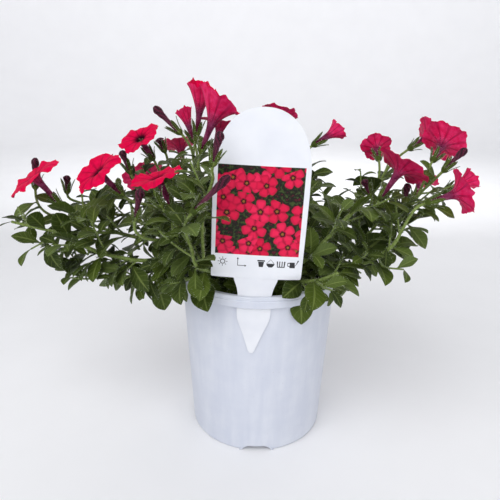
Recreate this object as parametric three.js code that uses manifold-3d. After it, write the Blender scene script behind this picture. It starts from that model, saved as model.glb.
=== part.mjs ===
// A petunia in a white nursery pot, with a plastic plant label held in a slot in the pot's rim.
// Millimetres, +Z up, -Y towards the viewer. The origin is the middle of the pot's flat base.
// The pot is filled with soil. Leafy stems stand in holes in the soil and carry blooms and buds,
// and each bloom or bud sits in its calyx with a small gap.
import * as THREE from "three";
import { mergeVertices } from "three/addons/utils/BufferGeometryUtils.js";
import Module from "manifold-3d";

const wasm = await Module();
wasm.setup();

// Driving dimensions
const pot = {
  height: 126, footRadius: 49.2, topRadius: 55.8, wall: 1.0, floor: 1.6, footEdge: 1.2,
  rimRadius: 58.2, rimDepth: 8, skirt: 0.9, flange: 1.0, sides: 32,
};
const channel = { count: 3, inner: 20, outer: 52, baseHalfWidth: 11, roofHalfWidth: 6, height: 4, roof: 1.4 };
const drain = { radius: 3.5, ringRadius: 33, sides: 10 };
const soil = { level: 112, mound: 2.5, bump: 1.2, gap: 0.5, sides: 20, rings: [47, 33, 17] };
const stalk = {
  footRadius: 2, tipRadius: 1.3, shootRadius: 1.1, pedicelRadius: 0.9, sides: 5, step: 15,
  gap: 0.35, inSoil: 18, crown: 2,
};
const label = {
  thickness: 0.6, gap: 0.3, tipLevel: 84, tipX: -5, lean: 0.045, panelBow: 0.13, panelY: -58, bend: 14,
  columns: 5,
  // levels along the label's centre line, each with half the label's width there
  outline: [
    [84, 1.6], [98, 6.2], [109, 10.6], [117, 11], [126, 10.6], [132, 11.6], [138.6, 14],
    [139.2, 28], [165, 28.4], [192, 28.6], [208, 28.4], [222, 25.8], [232, 20.6], [239, 13], [242, 6.5],
  ],
};
const corolla = {
  baseRadius: 1.3, midRadius: 1.9, midShare: 0.55, throatRadius: 4.2, tube: 20, limb: 14.5, rise: 2.5,
  wall: 0.8, floorRadius: 0.4, floorShare: 0.5, notch: 0.16, lobeRuffle: 0.75, sideRuffle: 1.2,
  openSides: 15, halfSides: 10, flat: 60,
};
// a bud's radii, each with its share of the length
const bud = { sides: 6, outline: [[1.2, 0], [1.5, 0.5], [2.5, 0.82], [1.1, 1]] };
const calyx = { gap: 0.35, depth: 2.4, cup: 2.8, bed: 2.05, tip: 5.6, length: 9.5, wall: 0.8 };
const blade = {
  thickness: 0.7, shortest: 21, long: 30, stalkHalfWidth: 0.6, stalkShare: 0.06, widthShare: 0.27,
  belly: 1.25, tipShare: 0.34, tipStart: 0.9, rows: [0, 0.36, 0.72, 1], longRows: [0, 0.3, 0.56, 0.82, 1],
};
// How leaves stand along a stem, from its foot to its tip: angles in degrees, bend and roll in radians
const growth = {
  footPitch: 68, tipPitch: 38, pitchSpread: 16, shrink: 0.4, longest: 1.05, shortest: 0.85, lengthSpread: 0.3,
  bend: 0.3, bendSpread: 0.7, rollSpread: 0.7, facing: 0.5, tilt: 0.15, seed: 4001, seedStep: 97,
};
// How far pieces keep clear of each other, around the points that stand for them
const clear = {
  leaf: 4.2, own: 2.6, stalk: 3.4, calyx: 4.9, tube: 4.4, limb: 4.2, label: 5.4, wall: 4, soil: 1.5, rim: 2.3,
  step: 4, grid: 5, turn: 0.5, tries: 12, scales: [1, 0.75, 0.55],
  shares: [0.22, 0.38, 0.54, 0.7, 0.85, 1], sides: [-0.8, 0, 0.8], limbShares: [0.25, 0.6, 1], limbPoints: 12,
};
const up = new THREE.Vector3(0, 0, 1);
const goldenAngle = Math.PI * (3 - Math.sqrt(5));

// Blooms and buds: "base" is where the tube leaves its calyx and "axis" the way it faces. "flare" is the
// limb's angle from the axis in degrees, "size" scales the corolla, "throat" is the radius of a narrow throat,
// and "bud" is a closed bud's length.
const flowers = {
  bloom_left_far: {
    base: [-137, -10, 173], axis: [-0.6, -0.08, 0.8], flare: 97, size: 1.15,
    throat: 3, faces: [-0.52, -0.2, 0.83],
  },
  bloom_left_mid: {
    base: [-92, -20, 183], axis: [-0.64, -0.2, 0.75], flare: 95, size: 0.98,
    throat: 3.3, faces: [-0.48, -0.42, 0.77],
  },
  bloom_left_high: {
    base: [-76, 12, 201], axis: [-0.33, -0.5, 0.8], flare: 92, size: 0.88,
    throat: 3.2, faces: [-0.38, -0.36, 0.85],
  },
  bloom_left_front: {
    base: [-56, -40, 180], axis: [-0.4, 0.02, 0.91], flare: 92, size: 0.95,
    throat: 3.3, faces: [-0.27, -0.1, 0.96], lift: [2.4, [1, 0, 0.2]],
  },
  bloom_top: {
    base: [-43, 3, 220], axis: [0.13, 0.1, 0.98], flare: 30, size: 0.89,
    faces: [0.3, -0.1, 0.94],
  },
  bloom_top_right: {
    base: [-37, -30, 214], axis: [0.37, 0.12, 0.92], flare: 46, size: 1.05,
    faces: [0.62, 0.1, 0.78],
  },
  bloom_behind_label: { base: [-34, 28, 203], axis: [0.3, 0.2, 0.93], flare: 78, size: 0.85 },
  bloom_label_top: { base: [9, 6, 217], axis: [0.22, 0.5, 0.83], flare: 78, size: 0.73 },
  bloom_right_round: { base: [90, 40, 197], axis: [0.06, 0.91, 0.42], flare: 80, size: 0.67 },
  bloom_right_side: {
    base: [80, -20, 182], axis: [0.56, 0.3, 0.77], flare: 84, size: 1.08,
    throat: 3.5, faces: [0.6, 0.3, 0.74],
  },
  bloom_right_high: { base: [118, 0, 204], axis: [0.52, 0.72, 0.46], flare: 78, size: 0.9 },
  bloom_right_behind: { base: [112, 35, 206], axis: [0.82, 0.4, 0.44], flare: 74, size: 0.82 },
  bloom_right_far_side: { base: [106, -38, 184], axis: [0.94, 0.02, 0.31], flare: 76, size: 0.84 },
  bloom_right_low: { base: [120, 40, 166], axis: [0.4, 0.5, 0.76], flare: 78, size: 0.76 },
  bloom_back: { base: [-16, 88, 176], axis: [-0.15, 0.6, 0.78], flare: 80, size: 1 },
  bloom_back_right: { base: [20, 86, 146], axis: [0, 0.86, 0.5], flare: 80, size: 0.95 },
  bloom_back_left: { base: [-88, 74, 156], axis: [-0.45, 0.65, 0.61], flare: 80, size: 1 },
  bloom_back_high: { base: [-60, 64, 182], axis: [-0.2, 0.4, 0.89], flare: 80, size: 0.9 },
  half_label_right: { base: [38, 10, 212], axis: [0.85, 0.2, 0.5], flare: 38, size: 0.6 },
  half_right_far: { base: [129, 0, 182], axis: [0.86, 0.1, 0.42], flare: 38, size: 0.62 },
  half_top_left: { base: [-47, 16, 213], axis: [-0.32, 0.2, 0.93], flare: 24, size: 0.62 },
  bud_left_far: { base: [-160, 10, 180], axis: [0.1, 0.1, 1], bud: 20 },
  bud_left_pale: { base: [-139, 14, 176], axis: [0.1, 0, 1], bud: 11 },
  bud_left_high: { base: [-93, 14, 191], axis: [-0.33, 0.1, 0.94], bud: 15 },
  bud_left_front: { base: [-75, -57, 178], axis: [0.25, -0.05, 0.97], bud: 18 },
  bud_top_left: { base: [-54, -8, 222], axis: [-0.71, 0.1, 0.7], bud: 22 },
  bud_crinkled: { base: [-71, 34, 203], axis: [-0.38, 0, 0.92], bud: 9 },
  bud_label_upper: { base: [-27, -71, 214], axis: [0.24, 0.1, 0.97], bud: 17 },
  bud_label_lower: { base: [-37, -76, 188], axis: [0.71, 0.08, 0.7], bud: 27 },
  bud_right_high: { base: [124, -8, 199], axis: [0.69, 0.1, 0.7], bud: 19 },
  bud_right_mid: { base: [100, -4, 173], axis: [0.1, 0.1, 0.99], bud: 15 },
  bud_right_inner: { base: [80, 16, 176], axis: [-0.45, 0.1, 0.9], bud: 11 },
  spent_left: { base: [-59, -62, 187], axis: [-0.5, 0, 0.86], spent: true },
};

// Leafy stems: "foot" is where each stands in the soil, and "route" the points it passes. "leaves" are the
// share of the length where the leaves start and end, their number and their length in millimetres.
// A flower, or a side shoot, leaves its stem at the share of the length given as "at".
const stems = [
  {
    name: "stem_left_far", foot: [-16, -3],
    route: [[-44, -11, 143], [-82, -12, 149], [-112, -12, 157], [-128, -11, 166]],
    leaves: [0.3, 0.97, 9, 34], flowers: [["bloom_left_far", 1], ["bud_left_far", 0.86]],
    shoots: [{ at: 0.78, route: [[-138, -20, 156], [-166, -22, 163]], leaves: [0.35, 1, 5, 24] }],
  },
  {
    name: "stem_left_mid", foot: [-22, 2], route: [[-46, 0, 156], [-72, -13, 172]],
    leaves: [0.35, 0.96, 6, 26], flowers: [["bloom_left_mid", 1]],
  },
  {
    name: "stem_left_back", foot: [-17, 8],
    route: [[-44, 16, 146], [-80, 20, 154], [-112, 18, 158], [-130, 16, 166]],
    leaves: [0.3, 0.97, 8, 30], flowers: [["bud_left_pale", 1]],
    shoots: [{ at: 0.5, route: [[-84, 32, 164], [-96, 38, 176]], leaves: [0.4, 1, 4, 22] }],
  },
  {
    name: "stem_left_high", foot: [-9, 5], route: [[-36, 8, 152], [-58, 11, 176], [-68, 12, 187]],
    leaves: [0.35, 0.96, 6, 24], flowers: [["bloom_left_high", 1], ["bud_left_high", 0.8]],
  },
  {
    name: "stem_left_front", foot: [-15, -11], route: [[-40, -30, 142], [-54, -38, 156], [-56, -39, 168]],
    leaves: [0.3, 0.95, 7, 28], flowers: [["bloom_left_front", 1], ["bud_left_front", 0.78]],
  },
  {
    name: "stem_label_left", foot: [-9, -17],
    route: [[-28, -46, 138], [-38, -66, 150], [-42, -66, 164], [-52, -64, 178]],
    leaves: [0.42, 0.98, 6, 25], flowers: [["bud_label_lower", 0.8], ["spent_left", 1]],
    shoots: [{
      at: 0.66, route: [[-34, -66, 182], [-28, -68, 202]], leaves: [0.45, 1, 5, 18],
      flowers: [["bud_label_upper", 1]],
    }],
  },
  {
    name: "stem_top_left", foot: [-6, -3], route: [[-22, -3, 150], [-39, -4, 178], [-45, -2, 200]],
    leaves: [0.4, 0.97, 7, 26], flowers: [["bloom_top", 1], ["bud_top_left", 0.93], ["half_top_left", 0.85]],
  },
  {
    name: "stem_top_right", foot: [-3, -11], route: [[-17, -20, 148], [-31, -28, 176], [-38, -30, 198]],
    leaves: [0.4, 0.97, 7, 24], flowers: [["bloom_top_right", 1]],
  },
  {
    name: "stem_behind_label", foot: [-1, 5], route: [[-8, 12, 150], [-16, 22, 178]],
    leaves: [0.4, 0.95, 6, 24], flowers: [["bloom_behind_label", 1], ["bloom_label_top", 0.8]],
  },
  {
    name: "stem_back_high", foot: [-8, 14], route: [[-34, 34, 144], [-56, 42, 164], [-66, 38, 180]],
    leaves: [0.35, 0.96, 6, 26], flowers: [["bud_crinkled", 1], ["bloom_back_high", 0.72]],
  },
  {
    name: "stem_right_inner", foot: [5, -4], route: [[20, -4, 150], [31, 3, 178], [35, 8, 198]],
    leaves: [0.38, 0.97, 7, 24], flowers: [["half_label_right", 1]],
  },
  {
    name: "stem_right_front", foot: [7, -13],
    route: [[28, -32, 140], [40, -38, 155], [54, -34, 170], [66, -24, 178]],
    leaves: [0.34, 0.98, 8, 27],
  },
  {
    name: "stem_right_long", foot: [14, -4],
    route: [[38, -6, 136], [62, -8, 137], [80, -9, 146], [96, -6, 158], [109, -2, 178], [117, -3, 188]],
    leaves: [0.3, 0.97, 9, 30],
    flowers: [
      ["bud_right_high", 1], ["bloom_right_high", 0.9], ["bud_right_mid", 0.66], ["half_right_far", 0.8],
    ],
    shoots: [{
      at: 0.5, route: [[79, -14, 160], [79, -18, 171]], leaves: [0.3, 0.95, 3, 18],
      flowers: [["bloom_right_side", 1]],
    }],
  },
  {
    name: "stem_right_low", foot: [14, -12],
    route: [[42, -24, 137], [68, -33, 140], [84, -40, 154], [91, -40, 168]],
    leaves: [0.32, 0.97, 7, 30], flowers: [["bloom_right_far_side", 1]],
  },
  {
    name: "stem_right_back", foot: [14, 6],
    route: [[40, 16, 142], [66, 25, 156], [84, 30, 170], [93, 32, 186]],
    leaves: [0.32, 0.97, 8, 26],
    flowers: [["bloom_right_behind", 1], ["bloom_right_round", 0.86], ["bud_right_inner", 0.66]],
  },
  {
    name: "stem_right_rear", foot: [8, 12], route: [[38, 38, 138], [74, 50, 144], [98, 50, 154]],
    leaves: [0.32, 0.97, 7, 28], flowers: [["bloom_right_low", 1]],
  },
  {
    name: "stem_back", foot: [0, 14], route: [[-6, 48, 142], [-14, 74, 158]],
    leaves: [0.35, 0.97, 6, 26], flowers: [["bloom_back", 1]],
  },
  {
    name: "stem_back_right", foot: [5, 21], route: [[12, 48, 143], [16, 68, 143]],
    leaves: [0.35, 0.97, 6, 26], flowers: [["bloom_back_right", 1]],
  },
  {
    name: "stem_back_left", foot: [-8, 23], route: [[-40, 50, 136], [-72, 62, 140]],
    leaves: [0.35, 0.97, 6, 28], flowers: [["bloom_back_left", 1]],
  },
  {
    name: "stem_trailing_left", foot: [-23, -8],
    route: [[-48, -12, 134], [-66, -14, 130], [-90, -12, 120], [-116, -8, 118], [-140, -4, 121]],
    leaves: [0.36, 1, 7, 22],
  },
  {
    name: "stem_left_low", foot: [-27, 9],
    route: [[-52, -2, 136], [-76, -24, 137], [-104, -28, 143], [-126, -26, 152]],
    leaves: [0.34, 1, 10, 32],
  },
  {
    name: "stem_front_left_low", foot: [-18, -20], route: [[-36, -38, 130], [-48, -48, 134]],
    leaves: [0.5, 1, 6, 32],
  },
  {
    name: "stem_front_right_low", foot: [12, -21], route: [[26, -42, 130], [38, -50, 135], [50, -50, 140]],
    leaves: [0.45, 1, 6, 34],
  },
  {
    name: "stem_rear_low", foot: [14, 21], route: [[34, 56, 134], [52, 76, 138], [66, 92, 148]],
    leaves: [0.4, 1, 7, 28],
  },
];

// Colours and finish of each material
const finish = {
  pot: { color: 0xd9dde8, roughness: 0.45, metalness: 0 },
  soil: { color: 0x1d1512, roughness: 0.95, metalness: 0 },
  label: { color: 0xf2f3f6, roughness: 0.4, metalness: 0 },
  leaf: { color: 0x46662c, roughness: 0.65, metalness: 0 },
  petal: { color: 0xe01548, roughness: 0.6, metalness: 0 },
  bud: { color: 0x4a1230, roughness: 0.6, metalness: 0 },
};

// Small helpers
const vector = (point) => new THREE.Vector3(...point);
const degrees = (angle) => (angle * Math.PI) / 180;
const between = (from, to, share) => from + (to - from) * share;
const mix = (a, partOfA, b, partOfB) => a.clone().multiplyScalar(partOfA).addScaledVector(b, partOfB);
const onCircle = (centre, u, v, radius, angle) =>
  centre.clone().addScaledVector(u, radius * Math.cos(angle)).addScaledVector(v, radius * Math.sin(angle));

// A repeatable run of numbers from 0 to 1
function makeRandom(seed) {
  let state = seed;
  return () => {
    state = (state * 16807) % 2147483647;
    return state / 2147483647;
  };
}

// Triangles of a stack of rings with equal numbers of points. The ends are closed zigzag, which suits
// round rings and thin flat ones alike. From band "flip" on, the quads are split the other way, so that
// both faces of a thin waved sheet are split alike.
function loftGeometry(rings, flip = rings.length) {
  const sides = rings[0].length;
  const position = rings.flat().flatMap((point) => [point.x, point.y, point.z]);
  const index = [];
  for (let band = 0; band + 1 < rings.length; band += 1) {
    for (let side = 0; side < sides; side += 1) {
      const next = (side + 1) % sides;
      const [a, b] = [band * sides + side, band * sides + next];
      const [c, d] = [a + sides, b + sides];
      index.push(...(band < flip ? [a, b, d, a, d, c] : [a, b, c, b, d, c]));
    }
  }
  const last = (rings.length - 1) * sides;
  let [low, high] = [0, sides - 1];
  while (high - low > 1) {
    index.push(low + 1, low, high, last + low, last + low + 1, last + high);
    low += 1;
    if (high - low > 1) {
      index.push(low, high, high - 1, last + low, last + high - 1, last + high);
      high -= 1;
    }
  }
  const geometry = new THREE.BufferGeometry();
  geometry.setAttribute("position", new THREE.Float32BufferAttribute(position, 3));
  geometry.setIndex(index);
  return geometry;
}

// A closed geometry as a solid that can be joined and cut
function toSolid(geometry) {
  const bare = new THREE.BufferGeometry();
  bare.setAttribute("position", geometry.getAttribute("position"));
  bare.setIndex(geometry.index);
  const merged = mergeVertices(bare, 1e-4);
  const corners = merged.index.array;
  const triVerts = [];
  for (let i = 0; i < corners.length; i += 3) {
    const [a, b, c] = corners.subarray(i, i + 3);
    if (a !== b && b !== c && c !== a) triVerts.push(a, b, c);
  }
  const vertProperties = merged.getAttribute("position").array;
  const mesh = new wasm.Mesh({ numProp: 3, vertProperties, triVerts: new Uint32Array(triVerts) });
  return new wasm.Manifold(mesh);
}

const loftSolid = (rings, flip) => {
  const solid = toSolid(loftGeometry(rings, flip));
  return solid.volume() < 0 ? toSolid(loftGeometry(rings.map((ring) => [...ring].reverse()), flip)) : solid;
};

const joinAll = (solids) => solids.reduce((whole, piece) => whole.add(piece));

function toGeometry(solid) {
  const { vertProperties, triVerts } = solid.getMesh();
  const geometry = new THREE.BufferGeometry();
  geometry.setAttribute("position", new THREE.Float32BufferAttribute(vertProperties, 3));
  geometry.setIndex([...triVerts]);
  geometry.computeVertexNormals();
  return geometry;
}

// A path is a fine polyline with its running length; places on it are given as a share of that length
function makePath(points) {
  const run = [0];
  for (let i = 1; i < points.length; i += 1) run.push(run[i - 1] + points[i].distanceTo(points[i - 1]));
  return { points, run, length: run[run.length - 1] };
}

function pointAt(path, share) {
  const goal = Math.min(Math.max(share, 0), 1) * path.length;
  let i = 1;
  while (i < path.run.length - 1 && path.run[i] < goal) i += 1;
  const part = (goal - path.run[i - 1]) / (path.run[i] - path.run[i - 1]);
  return path.points[i - 1].clone().lerp(path.points[i], part);
}

const directionAt = (path, share) =>
  pointAt(path, Math.min(share + 0.02, 1)).sub(pointAt(path, Math.max(share - 0.02, 0))).normalize();

// A smooth path through set points, eight steps to a span
function smoothPath(points) {
  const count = points.length;
  const first = points[0].clone().multiplyScalar(2).sub(points[1]);
  const last = points[count - 1].clone().multiplyScalar(2).sub(points[count - 2]);
  const all = [first, ...points, last];
  const fine = [points[0].clone()];
  for (let span = 0; span + 1 < count; span += 1) {
    const [p0, p1, p2, p3] = all.slice(span, span + 4);
    for (let step = 1; step <= 8; step += 1) {
      const u = step / 8;
      fine.push(
        new THREE.Vector3()
          .addScaledVector(p0, (-u + 2 * u * u - u * u * u) / 2)
          .addScaledVector(p1, (2 - 5 * u * u + 3 * u * u * u) / 2)
          .addScaledVector(p2, (u + 4 * u * u - 3 * u * u * u) / 2)
          .addScaledVector(p3, (-u * u + u * u * u) / 2),
      );
    }
  }
  return makePath(fine);
}

// A flower stalk: it leaves its stem along the stem and ends along the flower's axis
function stalkPath(start, direction, end, axis) {
  const reach = start.distanceTo(end) * 0.4;
  const lead = start.clone().addScaledVector(direction, reach);
  const tail = end.clone().addScaledVector(axis, -reach);
  const curve = new THREE.CubicBezierCurve3(start, lead, tail, end);
  return makePath(curve.getPoints(12));
}

// Two directions across a given one
function acrossFrame(direction) {
  const helper = Math.abs(direction.z) > 0.9 ? new THREE.Vector3(1, 0, 0) : up;
  const u = new THREE.Vector3().crossVectors(helper, direction).normalize();
  return [u, new THREE.Vector3().crossVectors(direction, u)];
}

// A ring about an axis: each point has its own radius and height
function axisRing(base, axis, sides, place) {
  const [u, v] = acrossFrame(axis);
  return Array.from({ length: sides }, (_, side) => {
    const angle = ((side + 0.5) / sides) * 2 * Math.PI;
    const [radius, height] = place(angle);
    return onCircle(base.clone().addScaledVector(axis, height), u, v, radius, angle);
  });
}

// Pot
const wallRadius = (level) => between(pot.footRadius, pot.topRadius, level / pot.height);
const shelled = (profile) =>
  new THREE.LatheGeometry(profile.map(([radius, level]) => new THREE.Vector2(radius, level)), pot.sides);

// Turns a lathed solid, made about +Y, to stand on its base
const upright = (solid) => solid.rotate([90, 0, 0]);

function channelSolids(extra, endRadius) {
  const [base, narrow] = [channel.baseHalfWidth + extra, channel.roofHalfWidth + extra];
  const below = 1;
  const wide = base + (below / channel.height) * (base - narrow);
  const section = new THREE.Shape();
  section.moveTo(-wide, -below);
  section.lineTo(wide, -below);
  section.lineTo(narrow, channel.height + extra);
  section.lineTo(-narrow, channel.height + extra);
  section.closePath();
  const start = channel.inner - extra;
  const bar = new THREE.ExtrudeGeometry(section, { depth: endRadius - start, bevelEnabled: false });
  // the section stands up and the bar points out along -Y
  bar.translate(0, 0, start);
  bar.rotateX(Math.PI / 2);
  const solid = toSolid(bar);
  return Array.from({ length: channel.count }, (_, i) => solid.rotate([0, 0, (360 / channel.count) * i]));
}

function slotSolid() {
  const middle = wallRadius(pot.height) + label.gap + label.thickness / 2;
  const reach = label.thickness / 2 + label.gap;
  const centreX = label.tipX + (pot.height - label.tipLevel) * label.lean;
  const halfAngle = (labelHalfWidth(pot.height) + 3 * label.gap) / middle;
  const centreAngle = -Math.PI / 2 + centreX / middle;
  const shape = new THREE.Shape();
  shape.absarc(0, 0, middle + reach, centreAngle - halfAngle, centreAngle + halfAngle, false);
  shape.absarc(0, 0, middle - reach, centreAngle + halfAngle, centreAngle - halfAngle, true);
  const options = { depth: pot.rimDepth, bevelEnabled: false, curveSegments: 6 };
  const slot = new THREE.ExtrudeGeometry(shape, options);
  slot.translate(0, 0, pot.height - pot.rimDepth / 2);
  return toSolid(slot);
}

function potSolid() {
  const { height, footEdge, floor, wall, rimRadius, rimDepth, skirt, flange } = pot;
  const underRim = height - rimDepth;
  const outside = [[0, 0], [pot.footRadius - footEdge, 0], [wallRadius(footEdge), footEdge]];
  const rim = [
    [wallRadius(height - flange), height - flange], [rimRadius - skirt, height - flange],
    [rimRadius - skirt, underRim], [rimRadius, underRim], [rimRadius, height - flange / 2],
    [rimRadius - flange / 2, height], [wallRadius(height) - wall, height],
  ];
  const inside = [[wallRadius(floor) - wall, floor], [0, floor]];
  const shell = upright(toSolid(shelled([...outside, ...rim, ...inside])));
  const envelope = upright(toSolid(shelled([...outside, [wallRadius(height), height], [0, height]])));
  const roofs = channelSolids(channel.roof, channel.outer).map((roof) => roof.intersect(envelope));
  const drains = Array.from({ length: channel.count }, (_, i) => {
    const hole = new THREE.CylinderGeometry(drain.radius, drain.radius, 20, drain.sides);
    hole.rotateX(Math.PI / 2);
    hole.translate(0, -drain.ringRadius, channel.height);
    return toSolid(hole).rotate([0, 0, (360 / channel.count) * i]);
  });
  const cuts = [...channelSolids(0, channel.outer), ...drains, slotSolid()];
  return cuts.reduce((body, cut) => body.subtract(cut), joinAll([shell, ...roofs]));
}

// Soil: a lumpy mound with a plain hole for each stem
function soilSolid() {
  const { level, mound, bump, gap, sides, rings } = soil;
  const bottom = pot.floor + gap;
  const edge = wallRadius(level) - pot.wall - gap;
  const circle = (radius, height) => axisRing(new THREE.Vector3(), up, sides, () => [radius, height]);
  const lumps = rings.map((radius) => axisRing(new THREE.Vector3(), up, sides, (angle) => {
    const noise = Math.sin(3 * angle + radius) * Math.cos(5 * angle - 0.7 * radius);
    return [radius, level + mound * (1 - radius / edge) + bump * noise];
  }));
  const foot = circle(wallRadius(bottom) - pot.wall - gap, bottom);
  const body = loftSolid([foot, circle(edge, level - 1), ...lumps]);
  const holeRadius = (stalk.footRadius + stalk.gap) / Math.cos(Math.PI / 6);
  const holes = stems.map(({ foot }) => {
    const hole = new THREE.CylinderGeometry(holeRadius, holeRadius, 2 * (stalk.inSoil + stalk.gap), 6);
    hole.rotateX(Math.PI / 2);
    hole.translate(foot[0], foot[1], level);
    return toSolid(hole);
  });
  const roofs = channelSolids(channel.roof + gap, channel.outer);
  return [...holes, ...roofs].reduce((whole, cut) => whole.subtract(cut), body);
}

// Label: a thin sheet that bends round the pot below the rim and is almost flat above it
function labelPoint(level, across, offset) {
  const rise = level - label.tipLevel;
  const x = label.tipX + rise * label.lean + across;
  const z = level - across * label.lean;
  const radius = wallRadius(Math.min(z, pot.height)) + label.gap + label.thickness / 2;
  const bow = radius - Math.sqrt(radius * radius - x * x);
  const free = Math.min(Math.max((z - pot.height - 1) / label.bend, 0), 1);
  const y = between(-radius, label.panelY, free) + bow * between(1, label.panelBow, free);
  return new THREE.Vector3(x, y + offset, z);
}

function labelSolid() {
  const rings = label.outline.map(([level, half]) => {
    const face = (offset) => Array.from({ length: label.columns + 1 }, (_, i) =>
      labelPoint(level, between(-half, half, i / label.columns), offset));
    return [...face(-label.thickness / 2), ...face(label.thickness / 2).reverse()];
  });
  return loftSolid(rings);
}

// Flowers
const seatOf = (flower) => {
  const axis = vector(flower.axis).normalize();
  return { base: vector(flower.base), axis };
};
const throatOf = (flower) => flower.throat ?? corolla.throatRadius;

// How far the limb leans and lifts off the plane across its tube. "faces" is the way that the limb looks
// where it is not the tube's own, and "lift" raises two opposite sides along the line given with it.
function limbBend(flower, share, angle, radius) {
  const { axis } = seatOf(flower);
  const [u, v] = acrossFrame(axis);
  const out = u.multiplyScalar(Math.cos(angle)).addScaledVector(v, Math.sin(angle));
  let bend = 0;
  if (flower.faces) {
    const faces = vector(flower.faces).normalize();
    bend -= (out.dot(faces) / axis.dot(faces)) * radius * share;
  }
  if (flower.lift) {
    const side = out.dot(vector(flower.lift[1]).normalize());
    bend += flower.size * flower.lift[0] * (2 * side * side - 1) * share * share;
  }
  return bend;
}

// The limb's back: "share" runs from the throat to the edge
function limbPlace(flower, share, angle) {
  const { size } = flower;
  const lobe = Math.abs(Math.cos(2.5 * angle));
  const cut = 1 - corolla.notch * (1 - lobe) * share * share;
  const flare = degrees(flower.flare);
  const radius = size * (throatOf(flower) + corolla.limb * Math.sin(flare) * share) * cut;
  const wave = corolla.lobeRuffle * Math.sin(5 * angle) + corolla.sideRuffle * Math.sin(2 * angle + 1);
  const arch = corolla.rise * (1 - (1 - share) ** 2) + wave * share * share;
  const height = size * (corolla.tube + corolla.limb * Math.cos(flare) * share + arch);
  return [radius, height + limbBend(flower, share, angle, radius)];
}

function bloomSolid(flower) {
  const { base, axis } = seatOf(flower);
  const { size } = flower;
  const sides = flower.flare > corolla.flat ? corolla.openSides : corolla.halfSides;
  const ring = (place) => axisRing(base, axis, sides, place);
  const back = (share) => ring((angle) => limbPlace(flower, share, angle));
  // the face lies one wall inside the back: towards the axis in a narrow funnel, above it in a flat limb
  const flare = degrees(flower.flare);
  const [inward, above] = [corolla.wall * Math.cos(flare), corolla.wall * Math.sin(flare)];
  const face = (share) => ring((angle) => {
    const [radius, height] = limbPlace(flower, share, angle);
    return [radius - inward, height + above];
  });
  const tube = size * corolla.tube;
  const rings = [
    ring(() => [corolla.baseRadius, 0]), ring(() => [corolla.midRadius, tube * corolla.midShare]),
    back(0), back(0.5), back(1), face(1), face(0.5),
    ring(() => [size * throatOf(flower) - corolla.wall, tube + above / 2]),
    ring(() => [corolla.floorRadius, tube * corolla.floorShare]),
  ];
  return loftSolid(rings, 5);
}

function budSolid(flower) {
  const { base, axis } = seatOf(flower);
  const rings = bud.outline.map(([radius, share]) =>
    axisRing(base, axis, bud.sides, () => [radius, share * flower.bud]));
  return loftSolid(rings);
}

// A stalk is a stack of five-sided rings along its path, worked out from its tip down to its foot and
// turned as little as possible. Its first stretch, up to the share given as "straight", has no ring inside.
function stalkRings({ tube, radii, straight }, tipFrame) {
  const count = Math.max(2, Math.round((tube.length * (1 - straight)) / stalk.step));
  const even = Array.from({ length: count + 1 }, (_, i) => between(straight, 1, i / count));
  const shares = straight > 0 ? [0, ...even] : even;
  let [u] = tipFrame;
  return shares.reverse().map((share) => {
    const tangent = directionAt(tube, share <= straight ? 0 : share);
    u = u.clone().addScaledVector(tangent, -u.dot(tangent)).normalize();
    const v = new THREE.Vector3().crossVectors(tangent, u);
    const radius = between(radii[0], radii[1], share);
    return Array.from({ length: stalk.sides }, (_, side) =>
      onCircle(pointAt(tube, share), u, v, radius, (side / stalk.sides) * 2 * Math.PI));
  }).reverse();
}

// A stalk that ends in a calyx: a cup with five pointed sepals, its bed just under the flower's tube
function calyxStalkSolid(axisOfStalk, flower) {
  const { base, axis } = seatOf(flower);
  const bed = base.clone().addScaledVector(axis, -calyx.gap);
  const [u, v] = acrossFrame(axis);
  const ring = (turn, radius, height) => Array.from({ length: 5 }, (_, i) =>
    onCircle(bed.clone().addScaledVector(axis, height), u, v, radius, ((i + turn) / 5) * 2 * Math.PI));
  const rings = [...stalkRings(axisOfStalk, [u, v]), ring(0, calyx.cup, 0)];
  const valleys = 5 * (rings.length - 1);
  const [tips, beds, innerTips] = [valleys + 5, valleys + 10, valleys + 15];
  rings.push(ring(0.5, calyx.tip, calyx.length));
  rings.push(ring(0, calyx.bed, 0));
  rings.push(ring(0.5, calyx.tip - calyx.wall, calyx.length));
  const faces = [];
  for (let i = 0; i < 5; i += 1) {
    const next = (i + 1) % 5;
    for (let band = 0; band < valleys; band += 5) {
      faces.push(band + i, band + next, band + 5 + next, band + i, band + 5 + next, band + 5 + i);
    }
    const [valley, nextValley, tip] = [valleys + i, valleys + next, tips + i];
    const [bedCorner, nextBed, innerTip] = [beds + i, beds + next, innerTips + i];
    faces.push(
      valley, nextValley, tip, bedCorner, innerTip, nextBed, valley, tip, innerTip,
      valley, innerTip, bedCorner, tip, nextValley, nextBed, tip, nextBed, innerTip,
    );
  }
  for (let i = 1; i < 4; i += 1) faces.push(0, i + 1, i, beds, beds + i, beds + i + 1);
  const position = rings.flat().flatMap((point) => [point.x, point.y, point.z]);
  const geometry = new THREE.BufferGeometry();
  geometry.setAttribute("position", new THREE.Float32BufferAttribute(position, 3));
  geometry.setIndex(faces);
  return toSolid(geometry);
}

function stalkSolid(axis) {
  if (axis.flower) return calyxStalkSolid(axis, flowers[axis.flower]);
  return loftSolid(stalkRings(axis, acrossFrame(directionAt(axis.tube, 1))));
}

// Leaves. A leaf is its root, the directions along, across and out of its face, its length, its bend and
// its owner; the blade is worked out from these.
function leafPoint(leaf, share, across, raise) {
  const half = (leaf.bend * share) / 2;
  const face = mix(leaf.face, Math.cos(2 * half), leaf.along, Math.sin(2 * half));
  return leaf.root.clone()
    .addScaledVector(leaf.along, leaf.length * share * Math.cos(half))
    .addScaledVector(leaf.face, -leaf.length * share * Math.sin(half))
    .addScaledVector(leaf.side, across)
    .addScaledVector(face, raise);
}

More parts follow.
